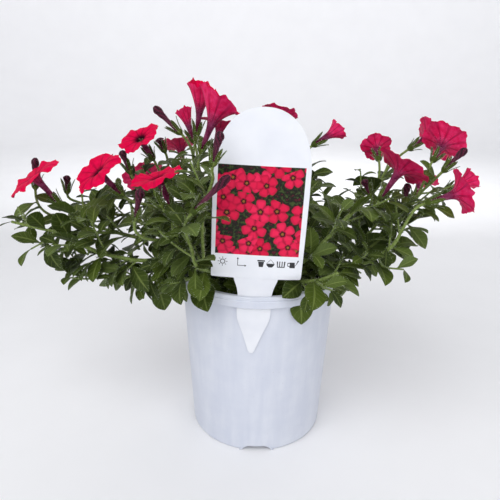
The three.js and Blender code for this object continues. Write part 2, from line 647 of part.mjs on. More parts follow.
// Half the blade's width: a stalk, then a spoon-shaped blade with a blunt tip
function bladeHalfWidth(leaf, share) {
  const width = leaf.length * blade.widthShare;
  const grown = Math.max(0, (share - blade.stalkShare) / (1 - blade.stalkShare));
  const spread = Math.sin(Math.PI * grown ** blade.belly);
  const blunt = share > blade.tipStart ? blade.tipShare : 0;
  return Math.max(blade.stalkHalfWidth, width * Math.max(spread, blunt));
}

function leafSolid(leaf) {
  const raise = blade.thickness / 2;
  const rows = leaf.length < blade.long ? blade.rows : blade.longRows;
  const rings = rows.map((share) => {
    const half = bladeHalfWidth(leaf, share);
    // the root is three-cornered
    const under = share > 0 ? half : 0;
    const corners = [[-half, raise], [half, raise], [under, -raise], [-under, -raise]];
    return corners.map(([across, height]) => leafPoint(leaf, share, across, height));
  });
  return loftSolid(rings);
}

// Points that stand for a leaf when it is kept clear of the rest
function leafSamples(leaf) {
  const samples = [];
  for (const share of clear.shares) {
    for (const side of clear.sides) {
      samples.push(leafPoint(leaf, share, side * bladeHalfWidth(leaf, share), 0));
    }
  }
  return samples;
}

// A leaf from a stem: it stands off at an angle, and its face is turned up
function makeLeaf(owner, path, share, azimuth, draw) {
  const tangent = directionAt(path, share);
  const [u, v] = acrossFrame(tangent);
  const outward = mix(u, Math.cos(azimuth), v, Math.sin(azimuth));
  const along = mix(tangent, Math.cos(draw.pitch), outward, Math.sin(draw.pitch));
  const sky = up.clone().addScaledVector(tangent, growth.facing).addScaledVector(outward, -growth.tilt);
  const side = new THREE.Vector3().crossVectors(along, sky).normalize();
  const face = new THREE.Vector3().crossVectors(side, along);
  const rolled = mix(side, Math.cos(draw.roll), face, Math.sin(draw.roll));
  return {
    owner, root: pointAt(path, share), along, side: rolled,
    face: new THREE.Vector3().crossVectors(rolled, along), length: draw.length, bend: draw.bend,
  };
}

// Places taken so far: the middle of each, how far it reaches, and the node that it belongs to
const taken = [];
const take = (point, reach, owner, kind) => taken.push({ point, reach, owner, kind });

function takePath(path, owner) {
  const count = Math.ceil(path.length / clear.step);
  for (let i = 0; i <= count; i += 1) take(pointAt(path, i / count), clear.stalk, owner, "stalk");
}

function takeFlower(name, flower, owner) {
  const { base, axis } = seatOf(flower);
  for (let height = -calyx.depth; height <= calyx.length; height += clear.step) {
    take(base.clone().addScaledVector(axis, height), clear.calyx, owner, "calyx");
  }
  if (flower.spent) return;
  const tube = flower.bud ?? flower.size * corolla.tube;
  for (let height = 0; height <= tube; height += clear.step) {
    take(base.clone().addScaledVector(axis, height), clear.tube, name, "bloom");
  }
  if (flower.bud) return;
  for (const share of clear.limbShares) {
    for (const point of axisRing(base, axis, clear.limbPoints, (angle) => limbPlace(flower, share, angle))) {
      take(point, clear.limb, name, "bloom");
    }
  }
}

function takeLabel() {
  const [topLevel] = label.outline[label.outline.length - 1];
  for (let level = pot.height; level < topLevel; level += clear.grid) {
    const half = labelHalfWidth(level);
    const count = Math.ceil((2 * half) / clear.grid);
    for (let i = 0; i <= count; i += 1) {
      take(labelPoint(level, between(-half, half, i / count), 0), clear.label, "label", "label");
    }
  }
}

function labelHalfWidth(level) {
  const { outline } = label;
  const i = outline.findIndex(([top]) => top >= level);
  const [[lowLevel, lowHalf], [highLevel, highHalf]] = [outline[i - 1], outline[i]];
  return between(lowHalf, highHalf, (level - lowLevel) / (highLevel - lowLevel));
}

// Whether a point keeps off the pot and the soil
function clearOfPot(point) {
  const radius = Math.hypot(point.x, point.y);
  const overSoil = point.z > soil.level + soil.mound + soil.bump + clear.soil;
  const insideWall = radius < wallRadius(pot.height) - clear.wall;
  return (insideWall && overSoil) || radius > pot.rimRadius + clear.rim || point.z > pot.height + clear.rim;
}

function fits(leaf) {
  return leafSamples(leaf).every((sample) => {
    if (!clearOfPot(sample)) return false;
    return taken.every(({ point, reach, owner, kind }) => {
      if (owner === leaf.owner && kind !== "leaf") return true;
      const limit = owner === leaf.owner ? clear.own : reach;
      return sample.distanceToSquared(point) > limit * limit;
    });
  });
}

// Leaves of one axis, spaced round it by the golden angle. A leaf that would cross something is turned,
// then tried shorter, and left out where it still would.
function growLeaves(owner, path, [first, last, number, length], random) {
  const leaves = [];
  const start = random() * 2 * Math.PI;
  for (let i = 0; i < number; i += 1) {
    const place = i / (number - 1);
    const share = between(first, last, place);
    const usual = length * (growth.longest - growth.shrink * place * place);
    const lean = between(growth.footPitch, growth.tipPitch, place);
    const draw = {
      length: usual * (growth.shortest + growth.lengthSpread * random()),
      pitch: degrees(lean + growth.pitchSpread * (random() - 0.5)),
      bend: growth.bend + growth.bendSpread * random(),
      roll: growth.rollSpread * (random() - 0.5),
    };
    const leaf = placeLeaf(owner, path, share, start + i * goldenAngle, draw);
    if (leaf) {
      leaves.push(leaf);
      for (const sample of leafSamples(leaf)) take(sample, clear.leaf, owner, "leaf");
    }
  }
  return leaves;
}

function placeLeaf(owner, path, share, azimuth, draw) {
  for (const scale of clear.scales) {
    for (let attempt = 0; attempt < clear.tries; attempt += 1) {
      const turn = Math.ceil(attempt / 2) * clear.turn * (attempt % 2 === 0 ? 1 : -1);
      const leaf = makeLeaf(owner, path, share, azimuth + turn, { ...draw, length: draw.length * scale });
      if (fits(leaf)) return leaf;
    }
  }
  return null;
}

// A stem's axes: the stem, its shoots and the stalks of its flowers. A flower at the very end of a stem or
// shoot continues it, so that the two are one stalk.
function stemAxes(stem) {
  const axes = [];
  const grow = (path, [footRadius, tipRadius], straight, { leaves, flowers: held = [], shoots = [] }) => {
    const stalks = held.map(([name, at]) => {
      const { base, axis } = seatOf(flowers[name]);
      const end = base.clone().addScaledVector(axis, -calyx.gap - calyx.depth);
      return { name, at, path: stalkPath(pointAt(path, at), directionAt(path, at), end, axis) };
    });
    const last = stalks.find(({ at }) => at === 1);
    const tube = last ? makePath([...path.points, ...last.path.points.slice(1)]) : path;
    axes.push({
      path, tube, radii: [footRadius, last ? stalk.pedicelRadius : tipRadius],
      straight: straight / tube.length, leaves, flower: last?.name,
    });
    for (const side of stalks.filter(({ at }) => at !== 1)) {
      const radii = [stalk.pedicelRadius, stalk.pedicelRadius];
      axes.push({ path: side.path, tube: side.path, radii, straight: 0, flower: side.name });
    }
    for (const shoot of shoots) {
      const shootPath = smoothPath([pointAt(path, shoot.at), ...shoot.route.map(vector)]);
      grow(shootPath, [stalk.shootRadius, stalk.pedicelRadius], 0, shoot);
    }
  };
  const [x, y] = stem.foot;
  const crown = soil.level + soil.mound + soil.bump + stalk.crown;
  const bottom = new THREE.Vector3(x, y, soil.level - stalk.inSoil);
  const route = smoothPath([new THREE.Vector3(x, y, crown), ...stem.route.map(vector)]);
  const main = makePath([bottom, ...route.points]);
  grow(main, [stalk.footRadius, stalk.tipRadius], main.run[1], stem);
  return axes;
}

// Assembly
const plant = new THREE.Group();

function addPiece(name, solid, look) {
  const material = new THREE.MeshStandardMaterial({ ...look, flatShading: true });
  const mesh = new THREE.Mesh(toGeometry(solid), material);
  mesh.name = name;
  plant.add(mesh);
}

addPiece("pot", potSolid(), finish.pot);
addPiece("soil", soilSolid(), finish.soil);
addPiece("label", labelSolid(), finish.label);

takeLabel();
const layout = stems.map((stem) => ({ stem, axes: stemAxes(stem) }));
for (const { stem, axes } of layout) {
  for (const { tube, flower } of axes) {
    takePath(tube, stem.name);
    if (flower) takeFlower(flower, flowers[flower], stem.name);
  }
}
layout.forEach(({ stem, axes }, i) => {
  const random = makeRandom(growth.seed + growth.seedStep * i);
  const leaves = axes.filter((axis) => axis.leaves)
    .flatMap(({ path, leaves: rule }) => growLeaves(stem.name, path, rule, random))
    .filter((leaf) => leaf.length >= blade.shortest);
  addPiece(stem.name, joinAll([...axes.map(stalkSolid), ...leaves.map(leafSolid)]), finish.leaf);
});
for (const [name, flower] of Object.entries(flowers)) {
  if (flower.bud) addPiece(name, budSolid(flower), finish.bud);
  else if (!flower.spent) addPiece(name, bloomSolid(flower), finish.petal);
}

export default plant;
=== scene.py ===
import math
import bpy
import numpy as np
from mathutils import Euler, Matrix, Vector


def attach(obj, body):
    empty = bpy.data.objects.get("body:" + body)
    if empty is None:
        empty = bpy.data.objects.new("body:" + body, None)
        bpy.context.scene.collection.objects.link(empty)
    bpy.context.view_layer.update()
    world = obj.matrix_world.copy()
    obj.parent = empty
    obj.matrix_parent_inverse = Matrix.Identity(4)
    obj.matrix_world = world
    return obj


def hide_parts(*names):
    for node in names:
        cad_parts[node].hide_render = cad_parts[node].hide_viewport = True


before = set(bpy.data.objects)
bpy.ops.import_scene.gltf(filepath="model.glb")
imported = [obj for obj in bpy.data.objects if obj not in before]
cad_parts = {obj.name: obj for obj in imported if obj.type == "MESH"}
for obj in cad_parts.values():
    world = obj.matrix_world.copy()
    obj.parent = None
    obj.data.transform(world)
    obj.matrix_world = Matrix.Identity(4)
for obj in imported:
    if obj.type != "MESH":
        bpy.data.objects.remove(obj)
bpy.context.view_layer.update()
mm = 0.001
up = np.array([0.0, 0.0, 1.0])

# Camera: a little above the plant, looking down at it, turned slightly about its own line of sight
cameraSetup = {"place": (-6.3, -366.0, 270.0), "pitch": 20.0, "roll": 0.66, "lens": 38.74, "sensor": 36.0}


def placeCamera(setup):
    data = bpy.data.cameras.new("camera")
    data.lens = setup["lens"]
    data.sensor_width = setup["sensor"]
    data.clip_start = 0.01
    camera = bpy.data.objects.new("camera", data)
    tilt = Euler((math.radians(90 - setup["pitch"]), 0, 0)).to_matrix().to_4x4()
    roll = Matrix.Rotation(math.radians(setup["roll"]), 4, "Z")
    place = Matrix.Translation([value * mm for value in setup["place"]])
    camera.matrix_world = place @ tilt @ roll
    bpy.context.scene.collection.objects.link(camera)
    bpy.context.scene.camera = camera


placeCamera(cameraSetup)
print("camera placed")


# Materials
def linearColour(hexValue):
    parts = [int(hexValue[i:i + 2], 16) / 255 for i in (1, 3, 5)]
    return tuple(c / 12.92 if c <= 0.04045 else ((c + 0.055) / 1.055) ** 2.4 for c in parts) + (1.0,)


def addNode(tree, kind, inputs, out=0, **settings):  # each input is a value or the output of another node
    node = tree.nodes.new("ShaderNode" + kind)
    for name, value in settings.items():
        setattr(node, name, value)
    for socket, value in inputs.items() if isinstance(inputs, dict) else enumerate(inputs):
        if isinstance(value, bpy.types.NodeSocket):
            tree.links.new(value, node.inputs[socket])
        else:
            node.inputs[socket].default_value = value
    return node.outputs[out]


def startMaterial(name, values):
    material = bpy.data.materials.new(name)
    material.use_nodes = True
    tree = material.node_tree
    shader = tree.nodes["Principled BSDF"]
    for socket, value in values.items():
        shader.inputs[socket].default_value = value
    return material, tree, shader


# The plant's measures, in millimetres
pot = {
    "height": 126, "footRadius": 49.2, "topRadius": 55.8, "wall": 1.0, "floor": 1.6,
    "rimRadius": 58.2, "rimDepth": 8, "skirt": 0.9, "flange": 1.0,
}
channel = {"count": 3, "inner": 20, "outer": 52, "baseHalfWidth": 11, "roofHalfWidth": 6, "height": 4, "roof": 1.4}
drain = {"radius": 3.5, "ringRadius": 33}
soil = {"level": 112, "mound": 2.5, "bump": 1.2, "gap": 0.5}
stalk = {
    "footRadius": 2, "tipRadius": 1.3, "shootRadius": 1.1, "pedicelRadius": 0.9, "inSoil": 18, "crown": 2,
}
label = {
    "thickness": 0.6, "gap": 0.3, "tipLevel": 84, "tipX": -5, "lean": 0.045, "panelBow": 0.13, "panelY": -58,
    "bend": 14,
    "outline": [
        [84, 1.6], [98, 6.2], [109, 10.6], [117, 11], [126, 10.6], [132, 11.6], [138.6, 14],
        [139.2, 28], [165, 28.4], [192, 28.6], [208, 28.4], [222, 25.8], [232, 20.6], [239, 13], [242, 6.5],
    ],
}
corolla = {
    "baseRadius": 1.3, "midRadius": 1.9, "midShare": 0.55, "throatRadius": 4.2, "tube": 20, "limb": 14.5,
    "rise": 2.5, "notch": 0.16, "lobeRuffle": 0.75, "sideRuffle": 1.2,
}
calyx = {"gap": 0.35, "depth": 2.4, "tip": 5.6, "length": 9.5}
blade = {"stalkHalfWidth": 0.6, "stalkShare": 0.06, "widthShare": 0.27, "belly": 1.25, "tipShare": 0.34,
         "tipStart": 0.9}
growth = {
    "footPitch": 68, "tipPitch": 38, "pitchSpread": 16, "shrink": 0.4, "longest": 1.05, "shortest": 0.85,
    "lengthSpread": 0.3, "bend": 0.3, "bendSpread": 0.7, "rollSpread": 0.7, "facing": 0.5, "tilt": 0.15,
    "seed": 4001, "seedStep": 97,
}
clear = {
    "leaf": 4.2, "own": 2.6, "stalk": 3.4, "calyx": 4.9, "tube": 4.4, "limb": 4.2, "label": 5.4, "wall": 4,
    "soil": 1.5, "rim": 2.3, "step": 4, "grid": 5, "turn": 0.5, "tries": 12, "scales": [1, 0.75, 0.55],
    "shares": [0.22, 0.38, 0.54, 0.7, 0.85, 1], "sides": [-0.8, 0, 0.8], "limbShares": [0.25, 0.6, 1],
    "limbPoints": 12,
}
goldenAngle = math.pi * (3 - math.sqrt(5))
# Blooms: the place where the tube leaves its calyx, the way it faces, how far it flares in degrees, and its size.
# Some have a narrower throat, a limb that faces another way, or one that lifts on two opposite sides.
flowers = {}
for name, base, axis, flare, size, *more in [
    ["bloom_left_far", [-137, -10, 173], [-0.6, -0.08, 0.8], 97, 1.15,
     {"throat": 3.0, "faces": [-0.52, -0.2, 0.83]}],
    ["bloom_left_mid", [-92, -20, 183], [-0.64, -0.2, 0.75], 95, 0.98,
     {"throat": 3.3, "faces": [-0.48, -0.42, 0.77]}],
    ["bloom_left_high", [-76, 12, 201], [-0.33, -0.5, 0.8], 92, 0.88,
     {"throat": 3.2, "faces": [-0.38, -0.36, 0.85]}],
    ["bloom_left_front", [-56, -40, 180], [-0.4, 0.02, 0.91], 92, 0.95,
     {"throat": 3.3, "faces": [-0.27, -0.1, 0.96], "lift": [2.4, [1, 0, 0.2]]}],
    ["bloom_top", [-43, 3, 220], [0.13, 0.1, 0.98], 30, 0.89, {"faces": [0.3, -0.1, 0.94]}],
    ["bloom_top_right", [-37, -30, 214], [0.37, 0.12, 0.92], 46, 1.05, {"faces": [0.62, 0.1, 0.78]}],
    ["bloom_behind_label", [-34, 28, 203], [0.3, 0.2, 0.93], 78, 0.85],
    ["bloom_label_top", [9, 6, 217], [0.22, 0.5, 0.83], 78, 0.73],
    ["bloom_right_round", [90, 40, 197], [0.06, 0.91, 0.42], 80, 0.67],
    ["bloom_right_side", [80, -20, 182], [0.56, 0.3, 0.77], 84, 1.08,
     {"throat": 3.5, "faces": [0.6, 0.3, 0.74]}],
    ["bloom_right_high", [118, 0, 204], [0.52, 0.72, 0.46], 78, 0.9],
    ["bloom_right_behind", [112, 35, 206], [0.82, 0.4, 0.44], 74, 0.82],
    ["bloom_right_far_side", [106, -38, 184], [0.94, 0.02, 0.31], 76, 0.84],
    ["bloom_right_low", [120, 40, 166], [0.4, 0.5, 0.76], 78, 0.76],
    ["bloom_back", [-16, 88, 176], [-0.15, 0.6, 0.78], 80, 1],
    ["bloom_back_right", [20, 86, 146], [0, 0.86, 0.5], 80, 0.95],
    ["bloom_back_left", [-88, 74, 156], [-0.45, 0.65, 0.61], 80, 1],
    ["bloom_back_high", [-60, 64, 182], [-0.2, 0.4, 0.89], 80, 0.9],
    ["half_label_right", [38, 10, 212], [0.85, 0.2, 0.5], 38, 0.6],
    ["half_right_far", [129, 0, 182], [0.86, 0.1, 0.42], 38, 0.62],
    ["half_top_left", [-47, 16, 213], [-0.32, 0.2, 0.93], 24, 0.62],
]:
    flowers[name] = {"base": base, "axis": axis, "flare": flare, "size": size, **(more[0] if more else {})}
# Buds: the same, with their length
for name, base, axis, length in [
    ["bud_left_far", [-160, 10, 180], [0.1, 0.1, 1], 20],
    ["bud_left_pale", [-139, 14, 176], [0.1, 0, 1], 11],
    ["bud_left_high", [-93, 14, 191], [-0.33, 0.1, 0.94], 15],
    ["bud_left_front", [-75, -57, 178], [0.25, -0.05, 0.97], 18],
    ["bud_top_left", [-54, -8, 222], [-0.71, 0.1, 0.7], 22],
    ["bud_crinkled", [-71, 34, 203], [-0.38, 0, 0.92], 9],
    ["bud_label_upper", [-27, -71, 214], [0.24, 0.1, 0.97], 17],
    ["bud_label_lower", [-37, -76, 188], [0.71, 0.08, 0.7], 27],
    ["bud_right_high", [124, -8, 199], [0.69, 0.1, 0.7], 19],
    ["bud_right_mid", [100, -4, 173], [0.1, 0.1, 0.99], 15],
    ["bud_right_inner", [80, 16, 176], [-0.45, 0.1, 0.9], 11],
]:
    flowers[name] = {"base": base, "axis": axis, "bud": length}
# A calyx that has lost its bloom
flowers["spent_left"] = {"base": [-59, -62, 187], "axis": [-0.5, 0, 0.86], "spent": True}

# Leafy stems, by their foot in the soil and the points that they pass
stems = [
    {
        "name": "stem_left_far", "foot": [-16, -3],
        "route": [[-44, -11, 143], [-82, -12, 149], [-112, -12, 157], [-128, -11, 166]],
        "leaves": [0.3, 0.97, 9, 34], "flowers": [["bloom_left_far", 1], ["bud_left_far", 0.86]],
        "shoots": [{"at": 0.78, "route": [[-138, -20, 156], [-166, -22, 163]], "leaves": [0.35, 1, 5, 24]}],
    },
    {
        "name": "stem_left_mid", "foot": [-22, 2], "route": [[-46, 0, 156], [-72, -13, 172]],
        "leaves": [0.35, 0.96, 6, 26], "flowers": [["bloom_left_mid", 1]],
    },
    {
        "name": "stem_left_back", "foot": [-17, 8],
        "route": [[-44, 16, 146], [-80, 20, 154], [-112, 18, 158], [-130, 16, 166]],
        "leaves": [0.3, 0.97, 8, 30], "flowers": [["bud_left_pale", 1]],
        "shoots": [{"at": 0.5, "route": [[-84, 32, 164], [-96, 38, 176]], "leaves": [0.4, 1, 4, 22]}],
    },
    {
        "name": "stem_left_high", "foot": [-9, 5], "route": [[-36, 8, 152], [-58, 11, 176], [-68, 12, 187]],
        "leaves": [0.35, 0.96, 6, 24], "flowers": [["bloom_left_high", 1], ["bud_left_high", 0.8]],
    },
    {
        "name": "stem_left_front", "foot": [-15, -11], "route": [[-40, -30, 142], [-54, -38, 156], [-56, -39, 168]],
        "leaves": [0.3, 0.95, 7, 28], "flowers": [["bloom_left_front", 1], ["bud_left_front", 0.78]],
    },
    {
        "name": "stem_label_left", "foot": [-9, -17],
        "route": [[-28, -46, 138], [-38, -66, 150], [-42, -66, 164], [-52, -64, 178]],
        "leaves": [0.42, 0.98, 6, 25], "flowers": [["bud_label_lower", 0.8], ["spent_left", 1]],
        "shoots": [{
            "at": 0.66, "route": [[-34, -66, 182], [-28, -68, 202]], "leaves": [0.45, 1, 5, 18],
            "flowers": [["bud_label_upper", 1]],
      }],
    },
    {
        "name": "stem_top_left", "foot": [-6, -3], "route": [[-22, -3, 150], [-39, -4, 178], [-45, -2, 200]],
        "leaves": [0.4, 0.97, 7, 26], "flowers": [["bloom_top", 1], ["bud_top_left", 0.93],
                                                  ["half_top_left", 0.85]],
    },
    {
        "name": "stem_top_right", "foot": [-3, -11], "route": [[-17, -20, 148], [-31, -28, 176], [-38, -30, 198]],
        "leaves": [0.4, 0.97, 7, 24], "flowers": [["bloom_top_right", 1]],
    },
    {
        "name": "stem_behind_label", "foot": [-1, 5], "route": [[-8, 12, 150], [-16, 22, 178]],
        "leaves": [0.4, 0.95, 6, 24], "flowers": [["bloom_behind_label", 1], ["bloom_label_top", 0.8]],
    },
    {
        "name": "stem_back_high", "foot": [-8, 14], "route": [[-34, 34, 144], [-56, 42, 164], [-66, 38, 180]],
        "leaves": [0.35, 0.96, 6, 26], "flowers": [["bud_crinkled", 1], ["bloom_back_high", 0.72]],
    },
    {
        "name": "stem_right_inner", "foot": [5, -4], "route": [[20, -4, 150], [31, 3, 178], [35, 8, 198]],
        "leaves": [0.38, 0.97, 7, 24], "flowers": [["half_label_right", 1]],
    },
    {
        "name": "stem_right_front", "foot": [7, -13],
        "route": [[28, -32, 140], [40, -38, 155], [54, -34, 170], [66, -24, 178]],
        "leaves": [0.34, 0.98, 8, 27],
    },
    {
        "name": "stem_right_long", "foot": [14, -4],
        "route": [[38, -6, 136], [62, -8, 137], [80, -9, 146], [96, -6, 158], [109, -2, 178], [117, -3, 188]],
        "leaves": [0.3, 0.97, 9, 30],
        "flowers": [
            ["bud_right_high", 1], ["bloom_right_high", 0.9], ["bud_right_mid", 0.66], ["half_right_far", 0.8],
        ],
        "shoots": [{
            "at": 0.5, "route": [[79, -14, 160], [79, -18, 171]], "leaves": [0.3, 0.95, 3, 18],
            "flowers": [["bloom_right_side", 1]],
      }],
    },
    {
        "name": "stem_right_low", "foot": [14, -12],
        "route": [[42, -24, 137], [68, -33, 140], [84, -40, 154], [91, -40, 168]],
        "leaves": [0.32, 0.97, 7, 30], "flowers": [["bloom_right_far_side", 1]],
    },
    {
        "name": "stem_right_back", "foot": [14, 6],
        "route": [[40, 16, 142], [66, 25, 156], [84, 30, 170], [93, 32, 186]],
        "leaves": [0.32, 0.97, 8, 26],
        "flowers": [["bloom_right_behind", 1], ["bloom_right_round", 0.86], ["bud_right_inner", 0.66]],
    },
    {
        "name": "stem_right_rear", "foot": [8, 12], "route": [[38, 38, 138], [74, 50, 144], [98, 50, 154]],
        "leaves": [0.32, 0.97, 7, 28], "flowers": [["bloom_right_low", 1]],
    },
    {
        "name": "stem_back", "foot": [0, 14], "route": [[-6, 48, 142], [-14, 74, 158]],
        "leaves": [0.35, 0.97, 6, 26], "flowers": [["bloom_back", 1]],
    },
    {
        "name": "stem_back_right", "foot": [5, 21], "route": [[12, 48, 143], [16, 68, 143]],
        "leaves": [0.35, 0.97, 6, 26], "flowers": [["bloom_back_right", 1]],
    },
    {
        "name": "stem_back_left", "foot": [-8, 23], "route": [[-40, 50, 136], [-72, 62, 140]],
        "leaves": [0.35, 0.97, 6, 28], "flowers": [["bloom_back_left", 1]],
    },
    {
        "name": "stem_trailing_left", "foot": [-23, -8],
        "route": [[-48, -12, 134], [-66, -14, 130], [-90, -12, 120], [-116, -8, 118], [-140, -4, 121]],
        "leaves": [0.36, 1, 7, 22],
    },
    {
        "name": "stem_left_low", "foot": [-27, 9],
        "route": [[-52, -2, 136], [-76, -24, 137], [-104, -28, 143], [-126, -26, 152]],
        "leaves": [0.34, 1, 10, 32],
    },
    {
        "name": "stem_front_left_low", "foot": [-18, -20], "route": [[-36, -38, 130], [-48, -48, 134]],
        "leaves": [0.5, 1, 6, 32],
    },
    {
        "name": "stem_front_right_low", "foot": [12, -21], "route": [[26, -42, 130], [38, -50, 135],
                                                                     [50, -50, 140]],
        "leaves": [0.45, 1, 6, 34],
    },
    {
        "name": "stem_rear_low", "foot": [14, 21], "route": [[34, 56, 134], [52, 76, 138], [66, 92, 148]],
        "leaves": [0.4, 1, 7, 28],
    },
]


def unit(vector):
    return vector / math.sqrt(vector @ vector)


def between(low, high, share):
    return low + (high - low) * share


def fullTurn(count):  # evenly spaced angles
    return np.arange(count) / count * 2 * math.pi


def makeRandom(seed):
    state = [seed]

    def draw():
        state[0] = (state[0] * 16807) % 2147483647
        return state[0] / 2147483647
    return draw


# A path is a fine polyline with its running length; places on it are given as a share of that length
def makePath(points):
    points = np.array(points, float)
    run = np.concatenate([[0], np.cumsum(np.linalg.norm(np.diff(points, axis=0), axis=1))])
    return {"points": points, "run": run, "length": run[-1]}


def pointAt(path, share):
    run, points = path["run"], path["points"]
    goal = min(max(share, 0), 1) * path["length"]
    i = min(max(int(np.searchsorted(run, goal)), 1), len(run) - 1)
    return between(points[i - 1], points[i], (goal - run[i - 1]) / (run[i] - run[i - 1]))


def directionAt(path, share):
    return unit(pointAt(path, min(share + 0.02, 1)) - pointAt(path, max(share - 0.02, 0)))


def smoothPath(points):  # Catmull-Rom, eight steps to a span
    points = [np.array(point, float) for point in points]
    line = [2 * points[0] - points[1]] + points + [2 * points[-1] - points[-2]]
    fine = [points[0]]
    for p0, p1, p2, p3 in zip(line, line[1:], line[2:], line[3:]):
        for step in range(1, 9):
            u = step / 8
            fine.append((p0 * (-u + 2 * u * u - u ** 3) + p1 * (2 - 5 * u * u + 3 * u ** 3)
                         + p2 * (u + 4 * u * u - 3 * u ** 3) + p3 * (-u * u + u ** 3)) / 2)
    return makePath(fine)


def stalkPath(start, direction, end, axis):  # leaves its stem along the stem, ends along the flower's axis
    reach = np.linalg.norm(end - start) * 0.4
    lead, tail = start + direction * reach, end - axis * reach
    fine = []
    for step in range(13):
        u = step / 12
        fine.append(start * (1 - u) ** 3 + lead * 3 * u * (1 - u) ** 2 + tail * 3 * u * u * (1 - u) + end * u ** 3)
    return makePath(fine)


def acrossFrame(direction):
    helper = np.array([1.0, 0, 0]) if abs(direction[2]) > 0.9 else up
    u = unit(np.cross(helper, direction))
    return u, np.cross(direction, u)


def turnedTo(u, v, angle):
    return u * math.cos(angle) + v * math.sin(angle)


def wallRadius(level):
    return between(pot["footRadius"], pot["topRadius"], level / pot["height"])


def labelHalfWidth(level):
    levels, halves = zip(*label["outline"])
    return float(np.interp(level, levels, halves))


def labelPoint(level, across, offset):
    x = label["tipX"] + (level - label["tipLevel"]) * label["lean"] + across
    z = level - across * label["lean"]
    radius = wallRadius(min(z, pot["height"])) + label["gap"] + label["thickness"] / 2
    bow = radius - math.sqrt(radius * radius - x * x)
    free = min(max((z - pot["height"] - 1) / label["bend"], 0), 1)
    y = between(-radius, label["panelY"], free) + bow * between(1, label["panelBow"], free)
    return np.array([x, y + offset, z])


def seatOf(flower):
    return np.array(flower["base"], float), unit(np.array(flower["axis"], float))


def limbBend(flower, share, angle, radius):  # how far the limb leans and lifts off the plane across its tube
    bend = 0
    u, v = acrossFrame(seatOf(flower)[1])
    if "faces" in flower:
        faces = unit(np.array(flower["faces"], float))
        lean = (np.cos(angle) * (u @ faces) + np.sin(angle) * (v @ faces)) / (seatOf(flower)[1] @ faces)
        bend = bend - lean * radius * share
    if "lift" in flower:
        along = unit(np.array(flower["lift"][1], float))
        side = np.cos(angle) * (u @ along) + np.sin(angle) * (v @ along)
        bend = bend + flower["size"] * flower["lift"][0] * (2 * side * side - 1) * share * share
    return bend


def limbPlace(flower, share, angle):  # radius and height of the limb's back; share runs from throat to edge
    size, flare = flower["size"], math.radians(flower["flare"])
    throat = flower.get("throat", corolla["throatRadius"])
    cut = 1 - corolla["notch"] * (1 - np.abs(np.cos(2.5 * angle))) * share * share
    radius = size * (throat + corolla["limb"] * math.sin(flare) * share) * cut
    wave = corolla["lobeRuffle"] * np.sin(5 * angle) + corolla["sideRuffle"] * np.sin(2 * angle + 1)
    arch = corolla["rise"] * (1 - (1 - share) ** 2) + wave * share * share
    height = size * (corolla["tube"] + corolla["limb"] * math.cos(flare) * share + arch)
    return radius, height + limbBend(flower, share, angle, radius)


def bladeHalfWidth(length, share):  # half a leaf's width: a stalk, then a spoon-shaped blade
    grown = max(0, (share - blade["stalkShare"]) / (1 - blade["stalkShare"]))
    spread = math.sin(math.pi * grown ** blade["belly"])
    blunt = blade["tipShare"] if share > blade["tipStart"] else 0
    return max(blade["stalkHalfWidth"], length * blade["widthShare"] * max(spread, blunt))


def leafPoint(leaf, share, across, lift):
    half = leaf["bend"] * share / 2
    face = leaf["face"] * math.cos(2 * half) + leaf["along"] * math.sin(2 * half)
    return (leaf["root"] + leaf["along"] * (leaf["length"] * share * math.cos(half))
            - leaf["face"] * (leaf["length"] * share * math.sin(half)) + leaf["side"] * across + face * lift)


def leafSamples(leaf):
    return np.array([leafPoint(leaf, share, side * bladeHalfWidth(leaf["length"], share), 0)
                     for share in clear["shares"] for side in clear["sides"]])


def makeLeaf(owner, path, share, azimuth, draw):
    tangent = directionAt(path, share)
    u, v = acrossFrame(tangent)
    outward = turnedTo(u, v, azimuth)
    along = tangent * math.cos(draw["pitch"]) + outward * math.sin(draw["pitch"])
    sky = up + tangent * growth["facing"] - outward * growth["tilt"]
    side = unit(np.cross(along, sky))
    face = np.cross(side, along)
    rolled = side * math.cos(draw["roll"]) + face * math.sin(draw["roll"])
    return {"owner": owner, "root": pointAt(path, share), "along": along, "side": rolled,
            "face": np.cross(rolled, along), "length": draw["length"], "bend": draw["bend"]}


# Places taken so far: the middle of each, how far it reaches, the owner, and whether it is a leaf's
taken = {"count": 0, "points": np.zeros((60000, 3)), "reach": np.zeros(60000), "owner": np.zeros(60000, int),
         "leaf": np.zeros(60000, bool)}
owners = {}


def take(points, reach, owner, isLeaf=False):
    points = np.atleast_2d(points)
    span = slice(taken["count"], taken["count"] + len(points))
    taken["points"][span] = points
    taken["reach"][span] = reach
    taken["owner"][span] = owners.setdefault(owner, len(owners))
    taken["leaf"][span] = isLeaf
    taken["count"] += len(points)


def takePath(path, owner):
    count = math.ceil(path["length"] / clear["step"])
    take([pointAt(path, i / count) for i in range(count + 1)], clear["stalk"], owner)


def takeFlower(name, flower, owner):
    base, axis = seatOf(flower)
    take([base + axis * h for h in np.arange(-calyx["depth"], calyx["length"] + 1e-9, clear["step"])],
         clear["calyx"], owner)
    if "spent" in flower:
        return
    tube = flower["bud"] if "bud" in flower else flower["size"] * corolla["tube"]
    take([base + axis * h for h in np.arange(0, tube + 1e-9, clear["step"])], clear["tube"], name)
    if "bud" in flower:
        return
    u, v = acrossFrame(axis)
    angles = (np.arange(clear["limbPoints"]) + 0.5) / clear["limbPoints"] * 2 * math.pi
    for share in clear["limbShares"]:
        radius, height = limbPlace(flower, share, angles)
        take(base + np.outer(height, axis) + np.outer(radius * np.cos(angles), u)
             + np.outer(radius * np.sin(angles), v), clear["limb"], name)


def takeLabel():
    topLevel = label["outline"][-1][0]
    for level in range(pot["height"], topLevel, clear["grid"]):
        half = labelHalfWidth(level)
        count = math.ceil(2 * half / clear["grid"])
        take([labelPoint(level, between(-half, half, i / count), 0) for i in range(count + 1)],
             clear["label"], "label")


